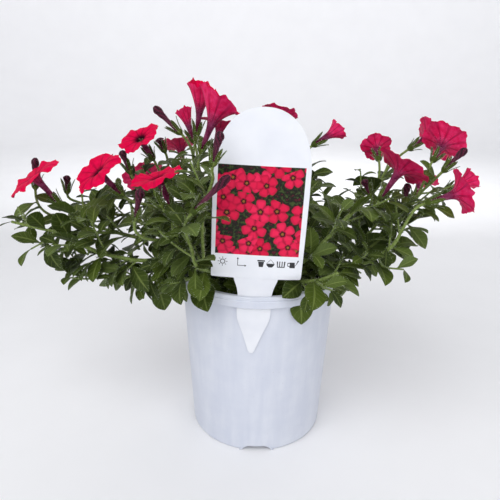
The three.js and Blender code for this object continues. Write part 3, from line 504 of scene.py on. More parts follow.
def clearOfPot(points):
    radius = np.hypot(points[:, 0], points[:, 1])
    overSoil = points[:, 2] > soil["level"] + soil["mound"] + soil["bump"] + clear["soil"]
    insideWall = radius < wallRadius(pot["height"]) - clear["wall"]
    return ((insideWall & overSoil) | (radius > pot["rimRadius"] + clear["rim"])
            | (points[:, 2] > pot["height"] + clear["rim"])).all()


def fits(leaf, ease=1.0):  # ease below 1 lets small leaves lie closer to the rest
    samples = leafSamples(leaf)
    if not clearOfPot(samples):
        return False
    count = taken["count"]
    own = taken["owner"][:count] == owners.get(leaf["owner"], -1)
    kept = ~own | taken["leaf"][:count]
    limit = np.where(own, clear["own"], taken["reach"][:count])[kept] * ease
    points = taken["points"][:count][kept]
    near = np.abs(points - samples.mean(axis=0)).max(axis=1) < leaf["length"] + 6
    gaps = ((samples[:, None] - points[near][None]) ** 2).sum(axis=2)
    return bool((gaps > limit[near] ** 2).all())


def placeLeaf(owner, path, share, azimuth, draw, ease=1.0):
    for scale in clear["scales"]:
        for attempt in range(clear["tries"]):
            turn = math.ceil(attempt / 2) * clear["turn"] * (1 if attempt % 2 == 0 else -1)
            leaf = makeLeaf(owner, path, share, azimuth + turn, {**draw, "length": draw["length"] * scale})
            if fits(leaf, ease):
                return leaf
    return None


def growLeaves(owner, path, rule, random, ease=1.0):
    first, last, number, length = rule
    leaves = []
    start = random() * 2 * math.pi
    for i in range(number):
        place = i / (number - 1)
        usual = length * (growth["longest"] - growth["shrink"] * place * place)
        lean = between(growth["footPitch"], growth["tipPitch"], place)
        draw = {
            "length": usual * (growth["shortest"] + growth["lengthSpread"] * random()),
            "pitch": math.radians(lean + growth["pitchSpread"] * (random() - 0.5)),
            "bend": growth["bend"] + growth["bendSpread"] * random(),
            "roll": growth["rollSpread"] * (random() - 0.5),
        }
        leaf = placeLeaf(owner, path, between(first, last, place), start + i * goldenAngle, draw, ease)
        if leaf:
            leaves.append(leaf)
            take(leafSamples(leaf), clear["leaf"], owner, True)
    return leaves


def stemAxes(stem):  # the stem, its shoots and the stalks of its flowers
    axes = []

    def grow(path, footRadius, tipRadius, straight, rule):
        stalks = []
        for name, at in rule.get("flowers", []):
            base, axis = seatOf(flowers[name])
            end = base - axis * (calyx["gap"] + calyx["depth"])
            stalks.append((name, at, stalkPath(pointAt(path, at), directionAt(path, at), end, axis)))
        last = next((stalk for stalk in stalks if stalk[1] == 1), None)
        tube = makePath(np.vstack([path["points"], last[2]["points"][1:]])) if last else path
        tip = stalk["pedicelRadius"] if last else tipRadius
        axes.append({"path": path, "tube": tube, "radii": (footRadius, tip), "leaves": rule.get("leaves"),
                     "flower": last[0] if last else None, "length": straight})
        for name, at, side in stalks:
            if at != 1:
                radii = (stalk["pedicelRadius"], stalk["pedicelRadius"])
                axes.append({"path": side, "tube": side, "radii": radii, "leaves": None, "flower": name})
        for shoot in rule.get("shoots", []):
            shootPath = smoothPath([pointAt(path, shoot["at"])] + shoot["route"])
            grow(shootPath, stalk["shootRadius"], stalk["pedicelRadius"], 0, shoot)

    x, y = stem["foot"]
    crown = soil["level"] + soil["mound"] + soil["bump"] + stalk["crown"]
    route = smoothPath([[x, y, crown]] + stem["route"])
    bottom = np.array([[x, y, soil["level"] - stalk["inSoil"]]], float)
    grow(makePath(np.vstack([bottom, route["points"]])), stalk["footRadius"], stalk["tipRadius"], 0, stem)
    return axes


takeLabel()
layout = [(stem, stemAxes(stem)) for stem in stems]
for stem, axes in layout:
    for axis in axes:
        takePath(axis["tube"], stem["name"])
        if axis["flower"]:
            takeFlower(axis["flower"], flowers[axis["flower"]], stem["name"])
for i, (stem, axes) in enumerate(layout):
    random = makeRandom(growth["seed"] + growth["seedStep"] * i)
    for axis in axes:
        if axis["leaves"]:
            axis["grown"] = growLeaves(stem["name"], axis["path"], axis["leaves"], random)
print("leaves laid out:", sum(len(axis.get("grown", [])) for _, axes in layout for axis in axes))


# Mesh parts: points, four-sided and three-sided faces with their material numbers, and three numbers a point
# that the materials read as "place"
def loft(rings, place, material):
    rows, sides = rings.shape[:2]
    i, j = np.meshgrid(np.arange(rows - 1), np.arange(sides), indexing="ij")
    a, b = i * sides + j, i * sides + (j + 1) % sides
    quads = np.stack([a, b, b + sides, a + sides], axis=-1).reshape(-1, 4)
    low, high = rows * sides, rows * sides + 1  # a middle point closes each end
    ring, after = np.arange(sides), (np.arange(sides) + 1) % sides
    last = (rows - 1) * sides
    tris = np.vstack([np.stack([after, ring, np.full(sides, low)], axis=1),
                      np.stack([ring + last, after + last, np.full(sides, high)], axis=1)])
    points = np.vstack([rings.reshape(-1, 3), rings[0].mean(axis=0), rings[-1].mean(axis=0)])
    place = np.vstack([place.reshape(-1, 3), place[0].mean(axis=0), place[-1].mean(axis=0)])
    material = np.broadcast_to(np.array(material), (rows - 1,))
    kinds = np.repeat(material, sides)
    endKinds = np.repeat([material[0], material[-1]], sides)
    return {"points": points, "place": place, "quads": quads, "quadKinds": kinds, "tris": tris,
            "triKinds": endKinds}


def sheet(top, under, place, material):  # rows run along the sheet, columns across it
    rows, columns = top.shape[:2]
    grid = np.arange(rows * columns).reshape(rows, columns)
    a, b, c, d = grid[:-1, :-1], grid[:-1, 1:], grid[1:, 1:], grid[1:, :-1]
    face = np.stack([a, b, c, d], axis=-1).reshape(-1, 4)
    edge = np.concatenate([grid[0, :-1], grid[:-1, -1], grid[-1, :0:-1], grid[:0:-1, 0]])
    after = np.roll(edge, -1)
    count = rows * columns
    wall = np.stack([after, edge, edge + count, after + count], axis=1)
    quads = np.vstack([face, face[:, ::-1] + count, wall])
    return {"points": np.vstack([top.reshape(-1, 3), under.reshape(-1, 3)]),
            "place": np.vstack([place.reshape(-1, 3)] * 2), "quads": quads,
            "quadKinds": np.full(len(quads), material), "tris": np.zeros((0, 3), int), "triKinds": np.zeros(0, int)}


def plainLoft(rings, material=0):  # its material does not read "place"
    rings = np.array(rings)
    return loft(rings, np.zeros(rings.shape), material)


def spikes(roots, directions, lengths, width, material):  # thin three-sided hairs
    directions = directions / np.linalg.norm(directions, axis=1, keepdims=True)
    helper = np.where(np.abs(directions[:, 2:]) > 0.9, [[1.0, 0, 0]], [[0, 0, 1.0]])
    u = np.cross(helper, directions)
    u /= np.linalg.norm(u, axis=1, keepdims=True)
    v = np.cross(directions, u)
    corners = [roots - directions * width + (u * math.cos(angle) + v * math.sin(angle)) * width / 2
               for angle in (0, 2 * math.pi / 3, 4 * math.pi / 3)]
    points = np.stack(corners + [roots + directions * np.reshape(lengths, (-1, 1))], axis=1)
    base = np.arange(len(roots))[:, None] * 4
    tris = np.concatenate([base + [0, 1, 3], base + [1, 2, 3], base + [2, 0, 3], base + [0, 2, 1]])
    place = np.zeros((len(roots) * 4, 3))
    place[3::4, 1] = 1
    return {"points": points.reshape(-1, 3), "place": place, "quads": np.zeros((0, 4), int),
            "quadKinds": np.zeros(0, int), "tris": tris, "triKinds": np.full(len(tris), material)}


def camelName(name):
    first, *rest = name.split("_")
    return first + "".join(word.capitalize() for word in rest)


def makeObject(name, parts, materials, sharp=40):
    shift = np.cumsum([0] + [len(part["points"]) for part in parts])
    points = np.vstack([part["points"] for part in parts]) * mm
    place = np.vstack([part["place"] for part in parts])
    quads = np.vstack([part["quads"] + start for part, start in zip(parts, shift)])
    tris = np.vstack([part["tris"] + start for part, start in zip(parts, shift)])
    kinds = np.concatenate([part["quadKinds"] for part in parts] + [part["triKinds"] for part in parts])
    mesh = bpy.data.meshes.new(name)
    mesh.vertices.add(len(points))
    mesh.vertices.foreach_set("co", points.astype(np.float32).ravel())
    corners = np.concatenate([quads.ravel(), tris.ravel()])
    mesh.loops.add(len(corners))
    mesh.loops.foreach_set("vertex_index", corners.astype(np.int32))
    starts = np.concatenate([np.arange(len(quads)) * 4, len(quads) * 4 + np.arange(len(tris)) * 3])
    mesh.polygons.add(len(starts))
    mesh.polygons.foreach_set("loop_start", starts.astype(np.int32))
    mesh.polygons.foreach_set("material_index", kinds.astype(np.int32))
    for material in materials:
        mesh.materials.append(material)
    attribute = mesh.attributes.new("place", "FLOAT_VECTOR", "POINT")
    attribute.data.foreach_set("vector", place.astype(np.float32).ravel())
    mesh.update(calc_edges=True)
    mesh.shade_smooth()
    mesh.set_sharp_from_angle(angle=math.radians(sharp))
    made = bpy.data.objects.new(name, mesh)
    bpy.context.scene.collection.objects.link(made)
    return made


def finishPiece(piece, node):
    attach(piece, "root")
    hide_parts(node)


def onRings(centres, u, v, radii, angles):  # rings of points: one row a centre, one column an angle
    u, v = np.atleast_2d(u), np.atleast_2d(v)
    radii = np.broadcast_to(radii, (len(centres), len(angles)))[..., None]
    return (centres[:, None] + radii * np.cos(angles)[None, :, None] * u[:, None]
            + radii * np.sin(angles)[None, :, None] * v[:, None])


def ringPlace(rows, sides, along, extra=0.0):
    place = np.zeros((rows, sides, 3))
    place[..., 0] = np.arange(sides) / sides
    place[..., 1] = np.reshape(along, (-1, 1))
    place[..., 2] = extra
    return place


# Leaves
leafForm = {
    "grid": (12, 7), "largeGrid": (15, 9), "large": 26, "rowEase": 0.94, "thickness": 0.42, "edge": 0.2,
    "stalkHalfWidth": 0.55, "tipHalfShare": 0.012, "roundness": 0.8, "cup": 0.2, "cupPower": 1.6, "cupMiddle": 0.35,
    "ripple": 0.022, "waves": (9, 3), "tipCurl": 0.07, "hairSpacing": 1.8, "hair": 1.35, "hairSpan": (0.15, 0.97),
    "hairVary": (0.6, 1.1),
}
hairWidth = 0.12  # thicker than a real hair, so that it still shows at this size
leafKind, stemKind, hairKind = 0, 1, 2
rng = np.random.default_rng(20)


def leafBlade(leaf):
    form, length = leafForm, leaf["length"]
    rows, columns = form["largeGrid"] if length > form["large"] else form["grid"]
    share = (1 - np.cos(np.linspace(0, 1,
                                    rows) * math.pi * form["rowEase"])) / (1 - math.cos(math.pi * form["rowEase"]))
    share = share[:, None]
    across = np.linspace(-1, 1, columns)[None, :]
    grown = np.clip((share - blade["stalkShare"]) / (1 - blade["stalkShare"]), 0, 1)
    spread = np.clip(np.sin(math.pi * grown ** blade["belly"]), 0, 1) ** form["roundness"]
    half = length * blade["widthShare"] * spread
    half = np.maximum(half, np.where(share < 0.5, form["stalkHalfWidth"], form["tipHalfShare"] * length))
    phase = leaf["tint"] * 40
    often, vary = form["waves"]
    waves = np.sin(share * (often + vary * math.sin(phase)) + phase + 2 * np.sign(across))
    dish = np.abs(across) ** form["cupPower"] - form["cupMiddle"]
    lift = (half * form["cup"] * (0.6 + 0.8 * leaf["tint"]) * dish
            + form["ripple"] * length * waves * across ** 2 * spread
            - form["tipCurl"] * length * share ** 4)
    bend = leaf["bend"] * share / 2
    face = leaf["face"] * np.cos(2 * bend)[..., None] + leaf["along"] * np.sin(2 * bend)[..., None]
    middle = (leaf["root"] + leaf["along"] * (length * share * np.cos(bend))[..., None]
              - leaf["face"] * (length * share * np.sin(bend))[..., None])
    flat = middle + leaf["side"] * (across * half)[..., None]
    thick = between(form["thickness"], form["edge"], across ** 2) / 2
    place = np.stack(np.broadcast_arrays(across, share, leaf["tint"]), axis=-1)
    return sheet(flat + face * (lift + thick)[..., None], flat + face * (lift - thick)[..., None], place, leafKind)


def leafHairs(leaf):  # along both edges of the blade
    form = leafForm
    count = int(leaf["length"] / form["hairSpacing"])
    roots, directions = [], []
    for sign in (-1, 1):
        for share in between(*form["hairSpan"], (np.arange(count) + rng.random(count) * 0.8) / count):
            half = bladeHalfWidth(leaf["length"], share) * (0.97 if share < 0.9 else 0.8)
            roots.append(leafPoint(leaf, share, sign * half, half * form["cup"] * 0.5))
            directions.append(leaf["side"] * sign + leaf["along"] * rng.uniform(0, 0.7)
                              + leaf["face"] * rng.uniform(-0.5, 0.5))
    lengths = form["hair"] * rng.uniform(*form["hairVary"], len(roots))
    return spikes(np.array(roots), np.array(directions), lengths, hairWidth, hairKind)


# Stems
stemForm = {"sides": 8, "step": 2.5, "knots": 0.06, "knotSpacing": 4.1, "hairs": 2.7, "hair": 1.6,
            "hairVary": (0.5, 1.1), "inSoil": 4}


def stemTube(axis):
    tube, form = axis["tube"], stemForm
    count = max(4, round(tube["length"] / form["step"]))
    buried = max(0.0, stalk["inSoil"] - form["inSoil"]) / tube["length"] if "length" in axis else 0.0
    shares = between(buried if axis["radii"][0] == stalk["footRadius"] else 0.0, 1.0, np.linspace(0, 1, count + 1))
    u = acrossFrame(directionAt(tube, 1))[0]
    if axis["flower"]:
        u = acrossFrame(seatOf(flowers[axis["flower"]])[1])[0]
    frames = []
    for share in shares[::-1]:
        tangent = directionAt(tube, share)
        u = unit(u - tangent * (u @ tangent))
        frames.append((pointAt(tube, share), u, np.cross(tangent, u), tangent))
    centres, us, vs, tangents = (np.array(column)[::-1] for column in zip(*frames))
    radii = between(axis["radii"][0], axis["radii"][1], shares)
    radii = radii * (1 + form["knots"] * np.sin(shares * tube["length"] / form["knotSpacing"] + 5 * radii))
    angles = fullTurn(form["sides"])
    part = loft(onRings(centres, us, vs, radii[:, None], angles),
                ringPlace(len(shares), form["sides"], shares * tube["length"], 0.5), stemKind)
    number = int(form["hairs"] * tube["length"] * (1 - shares[0]))
    at = rng.uniform(0, len(shares) - 1.001, number)
    row, rest = at.astype(int), (at % 1)[:, None]
    turn = rng.uniform(0, 2 * math.pi, number)[:, None]
    out = us[row] * np.cos(turn) + vs[row] * np.sin(turn)
    roots = between(centres[row], centres[row + 1], rest) + out * radii[row][:, None] * 0.96
    directions = out + tangents[row] * rng.uniform(-0.3, 0.5, (number, 1)) + rng.uniform(-0.2, 0.2, (number, 3))
    lengths = form["hair"] * rng.uniform(*form["hairVary"], number)
    return [part, spikes(roots, directions, lengths, hairWidth, hairKind)]


# Calyx: a small cup with five narrow sepals
sepalForm = {"rows": 9, "columns": 5, "halfWidth": 1.05, "baseShare": 0.75, "thickness": 0.4, "spread": 0.16,
             "foot": 2.3, "hollow": 0.16, "hairs": 36, "hair": 1.5, "cupSides": 20}
cupOutline = [[0.95, -2.7], [1.25, -2.2], [1.9, -1.5], [2.4, -0.7], [2.62, 0.1], [2.5, 0.7], [2.1, 0.6],
              [1.2, 0.05]]


def calyxParts(flower):
    base, axis = seatOf(flower)
    bed = base - axis * calyx["gap"]
    u, v = acrossFrame(axis)
    outline, form = np.array(cupOutline), sepalForm
    rings = onRings(bed + outline[:, 1:] * axis, u, v, outline[:, :1], fullTurn(form["cupSides"]))
    parts = [loft(rings, ringPlace(len(outline), form["cupSides"], outline[:, 1], 0.5), leafKind)]
    share = np.linspace(0, 1, form["rows"])[:, None]
    across = np.linspace(-1, 1, form["columns"])[None, :]
    width = form["halfWidth"] * np.clip(between(form["baseShare"], 1.15, np.sin(math.pi * share ** 0.8)), 0, 1.15)
    width = width * np.clip((1.02 - share) / 0.25, 0, 1) ** 0.6
    for i in range(5):
        size, open_ = rng.uniform(0.88, 1.04), rng.uniform(0.75, 1.15)
        angle = (i + 0.5) / 5 * 2 * math.pi + rng.uniform(-1, 1) * form["spread"]
        out = turnedTo(u, v, angle)
        side = np.cross(axis, out)
        height = calyx["length"] * size * share * (1 - 0.08 * open_ * share)
        radius = (form["foot"] + (calyx["tip"] - form["foot"]) * open_ * share ** 1.5
                  + form["hollow"] * across ** 2 * width)
        middle = bed + axis * height[..., None] + side * (across * width)[..., None]
        thick = form["thickness"] / 2 * (1 - 0.5 * across ** 2)
        place = np.stack(np.broadcast_arrays(across, share, 0.35 + 0.4 * rng.random()), axis=-1)
        grid = middle + out * (radius + thick)[..., None]
        parts.append(sheet(grid, middle + out * (radius - thick)[..., None], place, leafKind))
        row = rng.integers(0, form["rows"] - 1, form["hairs"])
        sign = rng.choice([-1.0, 0.0, 1.0], form["hairs"], p=[0.36, 0.28, 0.36])
        column = np.where(sign < 0, 0, np.where(sign > 0, form["columns"] - 1, 2))
        roots = between(grid[row, column], grid[row + 1, column], rng.random((form["hairs"], 1)))
        directions = side * sign[:, None] + out * rng.uniform(0.3, 1, (form["hairs"], 1)) + axis * 0.3
        parts.append(spikes(roots, directions, form["hair"] * rng.uniform(0.5, 1.1, form["hairs"]), hairWidth,
                            hairKind))
    return parts


# Blooms: a trumpet of one sheet, its face one wall inside its back
bloomForm = {
    "columns": 72, "tubeRows": 12, "limbRows": 14, "wall": 0.4, "widening": 1.7, "smoothing": 3,
    "fold": 0.5, "lobeArch": 0.9, "edgeWave": 0.6, "edgeNotch": 0.018, "hairs": 260, "hair": 0.9,
    "hairVary": (0.4, 1), "hairTilt": (-0.6, 0.2), "hairReach": (0.03, 0.62), "ribs": 0.05, "limbEase": 0.85,
    "midribWidth": 0.16, "anthers": 5, "antherRing": 1.75, "antherFoot": 0.55, "antherTop": 0.97,
    "style": (0.25, 0.25, 0.3, 0.75, 0.8, 0.3), "filament": (0.16, 0.16, 0.2), "anther": (0.2, 0.55, 0.6, 0.5,
                                                                                          0.15),
}
backKind, faceKind, bloomHairKind, antherKind = 0, 1, 2, 3


def skinHairs(form, rings, row, turn, out, axis, material):  # hairs that stand on points of a round skin
    directions = out[turn] + axis * rng.uniform(*form["hairTilt"], (form["hairs"], 1))
    lengths = form["hair"] * rng.uniform(*form["hairVary"], form["hairs"])
    return spikes(rings[row, turn], directions, lengths, hairWidth, material)


def smoothRows(values, times):
    for _ in range(times):
        values[1:-1] = (values[:-2] + 2 * values[1:-1] + values[2:]) / 4
    return values


def bloomProfile(flower, angles):  # radius and height of the back, one row a place along it
    form, size = bloomForm, flower["size"]
    tube = corolla["tube"] * size
    share = np.linspace(0, 1, form["tubeRows"], endpoint=False)[:, None]
    narrow = between(corolla["baseRadius"], corolla["midRadius"], np.clip(share / corolla["midShare"], 0, 1))
    wide = np.clip((share - corolla["midShare"]) / (1 - corolla["midShare"]), 0, 1) ** form["widening"]
    ribs = 1 + form["ribs"] * share * np.cos(5 * angles)
    throat = flower.get("throat", corolla["throatRadius"]) * size
    tubeRadius = (narrow + (throat - corolla["midRadius"]) * wide) * ribs
    limb = np.linspace(0, 1, form["limbRows"])[:, None] ** form["limbEase"]
    radius, height = limbPlace(flower, limb, angles)
    phase = flower["base"][0] * 0.7 + flower["base"][2]
    crease = np.abs(np.cos(2.5 * angles)) ** 0.5 - 1  # deepest between the petals
    midrib = -np.exp(-((np.sin(2.5 * angles) / form["midribWidth"]) ** 2))  # a line down each petal
    height = height + size * (
        form["fold"] * (crease * limb * (1.2 - limb) * 2.4 + 0.5 * midrib * limb * (1.1 - limb) * 2)
        - form["lobeArch"] * limb ** 5 * np.cos(2.5 * angles) ** 2
        + form["edgeWave"] * limb ** 3 * (np.sin(11 * angles + phase) + 0.7 * np.sin(17 * angles + 2 * phase)))
    uneven = np.sin(13 * angles + phase) + np.sin(23 * angles + 3 * phase) + 0.6 * np.sin(37 * angles)
    radius = radius * (1 + form["edgeNotch"] * limb ** 4 * uneven)
    radius = np.vstack([np.broadcast_to(tubeRadius, (len(share), len(angles))), radius])
    height = np.vstack([np.broadcast_to(share * tube, (len(share), len(angles))),
                        np.broadcast_to(height, radius[len(share):].shape)])
    along = np.concatenate([share[:, 0] * 0.5, 0.5 + 0.5 * limb[:, 0]])
    return smoothRows(radius, form["smoothing"]), smoothRows(height, form["smoothing"]), along


def bloomParts(flower):
    form = bloomForm
    base, axis = seatOf(flower)
    u, v = acrossFrame(axis)
    angles = fullTurn(form["columns"])
    radius, height, along = bloomProfile(flower, angles)
    slopeR, slopeH = np.gradient(radius, axis=0), np.gradient(height, axis=0)
    length = np.hypot(slopeR, slopeH)
    thick = form["wall"] * np.clip((1.08 - along) / 0.3, 0.35, 1)[:, None]
    innerR, innerH = radius - thick * slopeH / length, height + thick * slopeR / length
    depth = form["tubeRows"] // 3
    innerR, innerH = np.maximum(innerR[depth:][::-1], 0.25), innerH[depth:][::-1]
    radius, height = np.vstack([radius, innerR]), np.vstack([height, innerH])
    along = np.concatenate([along, along[depth:][::-1]])
    out = np.cos(angles)[:, None] * u + np.sin(angles)[:, None] * v
    rings = base + height[..., None] * axis + radius[..., None] * out
    place = np.stack(np.broadcast_arrays(np.cos(angles)[None, :], np.sin(angles)[None, :], along[:, None]), axis=-1)
    rows = form["tubeRows"] + form["limbRows"]
    kinds = np.full(len(rings) - 1, faceKind)
    kinds[:rows - 1] = backKind
    parts = [loft(rings, place, kinds)]
    at, turn = rng.uniform(*form["hairReach"], form["hairs"]), rng.integers(0, form["columns"], form["hairs"])
    parts.append(skinHairs(form, rings, (at * rows).astype(int), turn, out, axis, bloomHairKind))
    return parts + throatParts(flower, base, axis, u, v)


def rod(start, end, radii, material, sides=6):
    axis = unit(end - start)
    u, v = acrossFrame(axis)
    centres = np.array([between(start, end, i / (len(radii) - 1)) for i in range(len(radii))])
    rings = onRings(centres, u, v, np.reshape(radii, (-1, 1)), fullTurn(sides))
    return loft(rings, ringPlace(len(radii), sides, np.linspace(0, 1, len(radii))), material)


def throatParts(flower, base, axis, u, v):  # anthers round a style, just inside the throat
    size, form = flower["size"], bloomForm
    throat = base + axis * corolla["tube"] * size * form["antherTop"]
    low = base + axis * corolla["tube"] * size * form["antherFoot"]
    parts = [rod(low, throat + axis * 0.4, form["style"], antherKind)]
    for i in range(form["anthers"]):
        angle = i / form["anthers"] * 2 * math.pi + 0.4
        out = turnedTo(u, v, angle) * form["antherRing"] * size
        drop = axis * (0.5 + 0.8 * (i % 2))
        parts.append(rod(low + out * 0.2, throat + out - drop, form["filament"], antherKind, 5))
        parts.append(rod(throat + out - drop * 1.3 - axis * 0.4, throat + out - drop + axis * 0.9, form["anther"],
                         antherKind))
    return parts


# Buds: furled petals, twisted round each other towards the tip
budForm = {"columns": 30, "rows": 22, "rowEase": 0.85, "twist": 2.4, "pleat": 0.12, "crumple": 0.16, "lean": 0.05,
           "hairs": 150, "hair": 0.9, "hairVary": (0.4, 1), "hairTilt": (-0.5, 0.4)}
budOutline = [[0, 1.2], [0.12, 1.3], [0.5, 1.5], [0.68, 2.1], [0.8, 2.5], [0.9, 2.35], [0.97, 1.6], [1, 0.9]]


def budParts(flower, crumpled):
    form = budForm
    base, axis = seatOf(flower)
    u, v = acrossFrame(axis)
    angles = fullTurn(form["columns"])
    share = np.linspace(0, 1, form["rows"]) ** form["rowEase"]
    shares, radii = zip(*budOutline)
    radius = smoothRows(np.interp(share, shares, radii), 1)[:, None]
    head = np.clip((share - 0.45) / 0.4, 0, 1)[:, None]
    turned = angles[None, :] + form["twist"] * head
    pleat = form["pleat"] * (0.3 + head) * np.cos(5 * turned) * (1 if not crumpled else 1.4)
    rough = form["crumple"] * head * (np.sin(9 * angles + 14 * share[:, None])
                                      + np.sin(4 * angles - 21 * share[:, None]))
    radius = radius * (1 + pleat + (rough if crumpled else 0.15 * rough))
    height = np.broadcast_to((share * flower["bud"])[:, None], radius.shape)
    out = np.cos(angles)[:, None] * u + np.sin(angles)[:, None] * v
    lean = form["lean"] * flower["bud"] * np.sin(share * 2.6)[:, None, None] * u
    rings = base + height[..., None] * axis + radius[..., None] * out + lean
    place = np.stack(np.broadcast_arrays(np.cos(turned), np.sin(turned), share[:, None]), axis=-1)
    row, turn = rng.integers(1, form["rows"] - 1, form["hairs"]), rng.integers(0, form["columns"], form["hairs"])
    return [loft(rings, place, 0), skinHairs(form, rings, row, turn, out, axis, 1)]


def repeats(size):  # a pattern's scale from the real size of one repeat, in millimetres
    return 1 / (size * mm)


def surfaceSpace(tree):
    return addNode(tree, "TexCoord", {}, "Object")


def placeVector(tree):
    return addNode(tree, "Attribute", {}, "Vector", attribute_name="place")


def placeParts(tree):
    return addNode(tree, "SeparateXYZ", [placeVector(tree)]).node.outputs


def addBump(tree, shader, height, strength, distance):
    bump = addNode(tree, "Bump", {"Height": height, "Strength": strength, "Distance": distance * mm})
    tree.links.new(bump, shader.inputs["Normal"])


def mixColours(tree, share, first, second):  # each colour is a hex value or the output of a node
    first, second = (linearColour(colour) if isinstance(colour, str) else colour for colour in (first, second))
    return addNode(tree, "Mix", {0: share, 6: first, 7: second}, 2, data_type="RGBA")


leafLook = {"deep": "#233107", "mid": "#475814", "vein": "#93a358", "silver": "#5e6f3e", "grain": 0.9, "patch": 6.0,
            "veins": 6.5, "slant": 1.35}


def makeLeafMaterial(look):
    # Living petunia leaf, grown: matt green with pale veins and a soft bloom of fine hairs
    material, tree, shader = startMaterial("petuniaLeaf", {
        "Roughness": 0.58, "IOR": 1.4, "Specular IOR Level": 0.3, "Sheen Weight": 0.1, "Sheen Roughness": 0.45,
        "Sheen Tint": linearColour("#c9d6b8")})
    across, share, tint = placeParts(tree)
    space = surfaceSpace(tree)
    patches = addNode(tree, "TexNoise", {"Vector": space, "Scale": repeats(look["patch"]), "Detail": 3.0})
    side = addNode(tree, "Math", [across], operation="ABSOLUTE")
    slant = addNode(tree, "Math", [side, -look["slant"]], operation="MULTIPLY")
    run = addNode(tree, "Math", [share, look["veins"], slant], operation="MULTIPLY_ADD")
    wave = addNode(tree, "Math", [run, 0.5], operation="PINGPONG")
    sideVein = addNode(tree, "MapRange", [wave, 0.0, 0.1, 0.55, 0.0], interpolation_type="SMOOTHSTEP")
    midrib = addNode(tree, "MapRange", [side, 0.04, 0.15, 1.0, 0.0], interpolation_type="SMOOTHSTEP")
    vein = addNode(tree, "Math", [sideVein, midrib], operation="MAXIMUM")
    tone = addNode(tree, "Math", [patches, tint], operation="ADD")
    spread = addNode(tree, "MapRange", [tone, 0.35, 1.25])
    green = mixColours(tree, spread, look["deep"], look["mid"])
    older = addNode(tree, "MapRange", [tint, 0.72, 1.0, 0.0, 0.55])
    green = mixColours(tree, older, green, look["silver"])
    strength = addNode(tree, "Math", [vein, 0.34], operation="MULTIPLY")
    colour = mixColours(tree, strength, green, look["vein"])
    tree.links.new(colour, shader.inputs["Base Color"])
    grain = addNode(tree, "TexNoise", {"Vector": space, "Scale": repeats(look["grain"]), "Detail": 2.0})
    relief = addNode(tree, "Math", [vein, -1.6, grain], operation="MULTIPLY_ADD")
    quilt = addNode(tree, "Math", [patches, 2.4, relief], operation="MULTIPLY_ADD")
    addBump(tree, shader, quilt, 0.5, 0.4)
    return material


stemLook = {"green": "#566824", "pale": "#869855", "streak": 1.4}


def makeStemMaterial(look):
    # Soft green petunia stem, grown: light, slightly ribbed and matt
    material, tree, shader = startMaterial("petuniaStem", {
        "Roughness": 0.55, "IOR": 1.4, "Specular IOR Level": 0.35, "Sheen Weight": 0.12, "Sheen Roughness": 0.5,
        "Sheen Tint": linearColour("#d4dec6")})
    noise = addNode(tree, "TexNoise", {"Vector": surfaceSpace(tree), "Scale": repeats(look["streak"]),
                                       "Detail": 3.0})
    spread = addNode(tree, "MapRange", [noise, 0.3, 0.7])
    tree.links.new(mixColours(tree, spread, look["green"], look["pale"]), shader.inputs["Base Color"])
    addBump(tree, shader, noise, 0.3, 0.2)
    return material


def makeHairMaterial(name, low, high):
    # Fine plant hair, grown: pale and a little glossy, so that it catches the light
    material, tree, shader = startMaterial(name, {"Roughness": 0.4, "IOR": 1.5})
    share = placeParts(tree)[1]
    tree.links.new(mixColours(tree, share, low, high), shader.inputs["Base Color"])
    return material


# the throat colour is near black: partly the flower's own darker throat, partly painted shade down the tube
petalLook = {
    "face": "#d4003e", "faceBright": "#e4044a", "faceDeep": "#84002c", "throat": "#33041a",
    "back": "#de0e52", "backPale": "#ec3472", "backVein": "#74082f", "tube": "#5c0c34", "tubePale": "#8c3a60",
    "mottle": 3.2, "grain": 0.7,
}


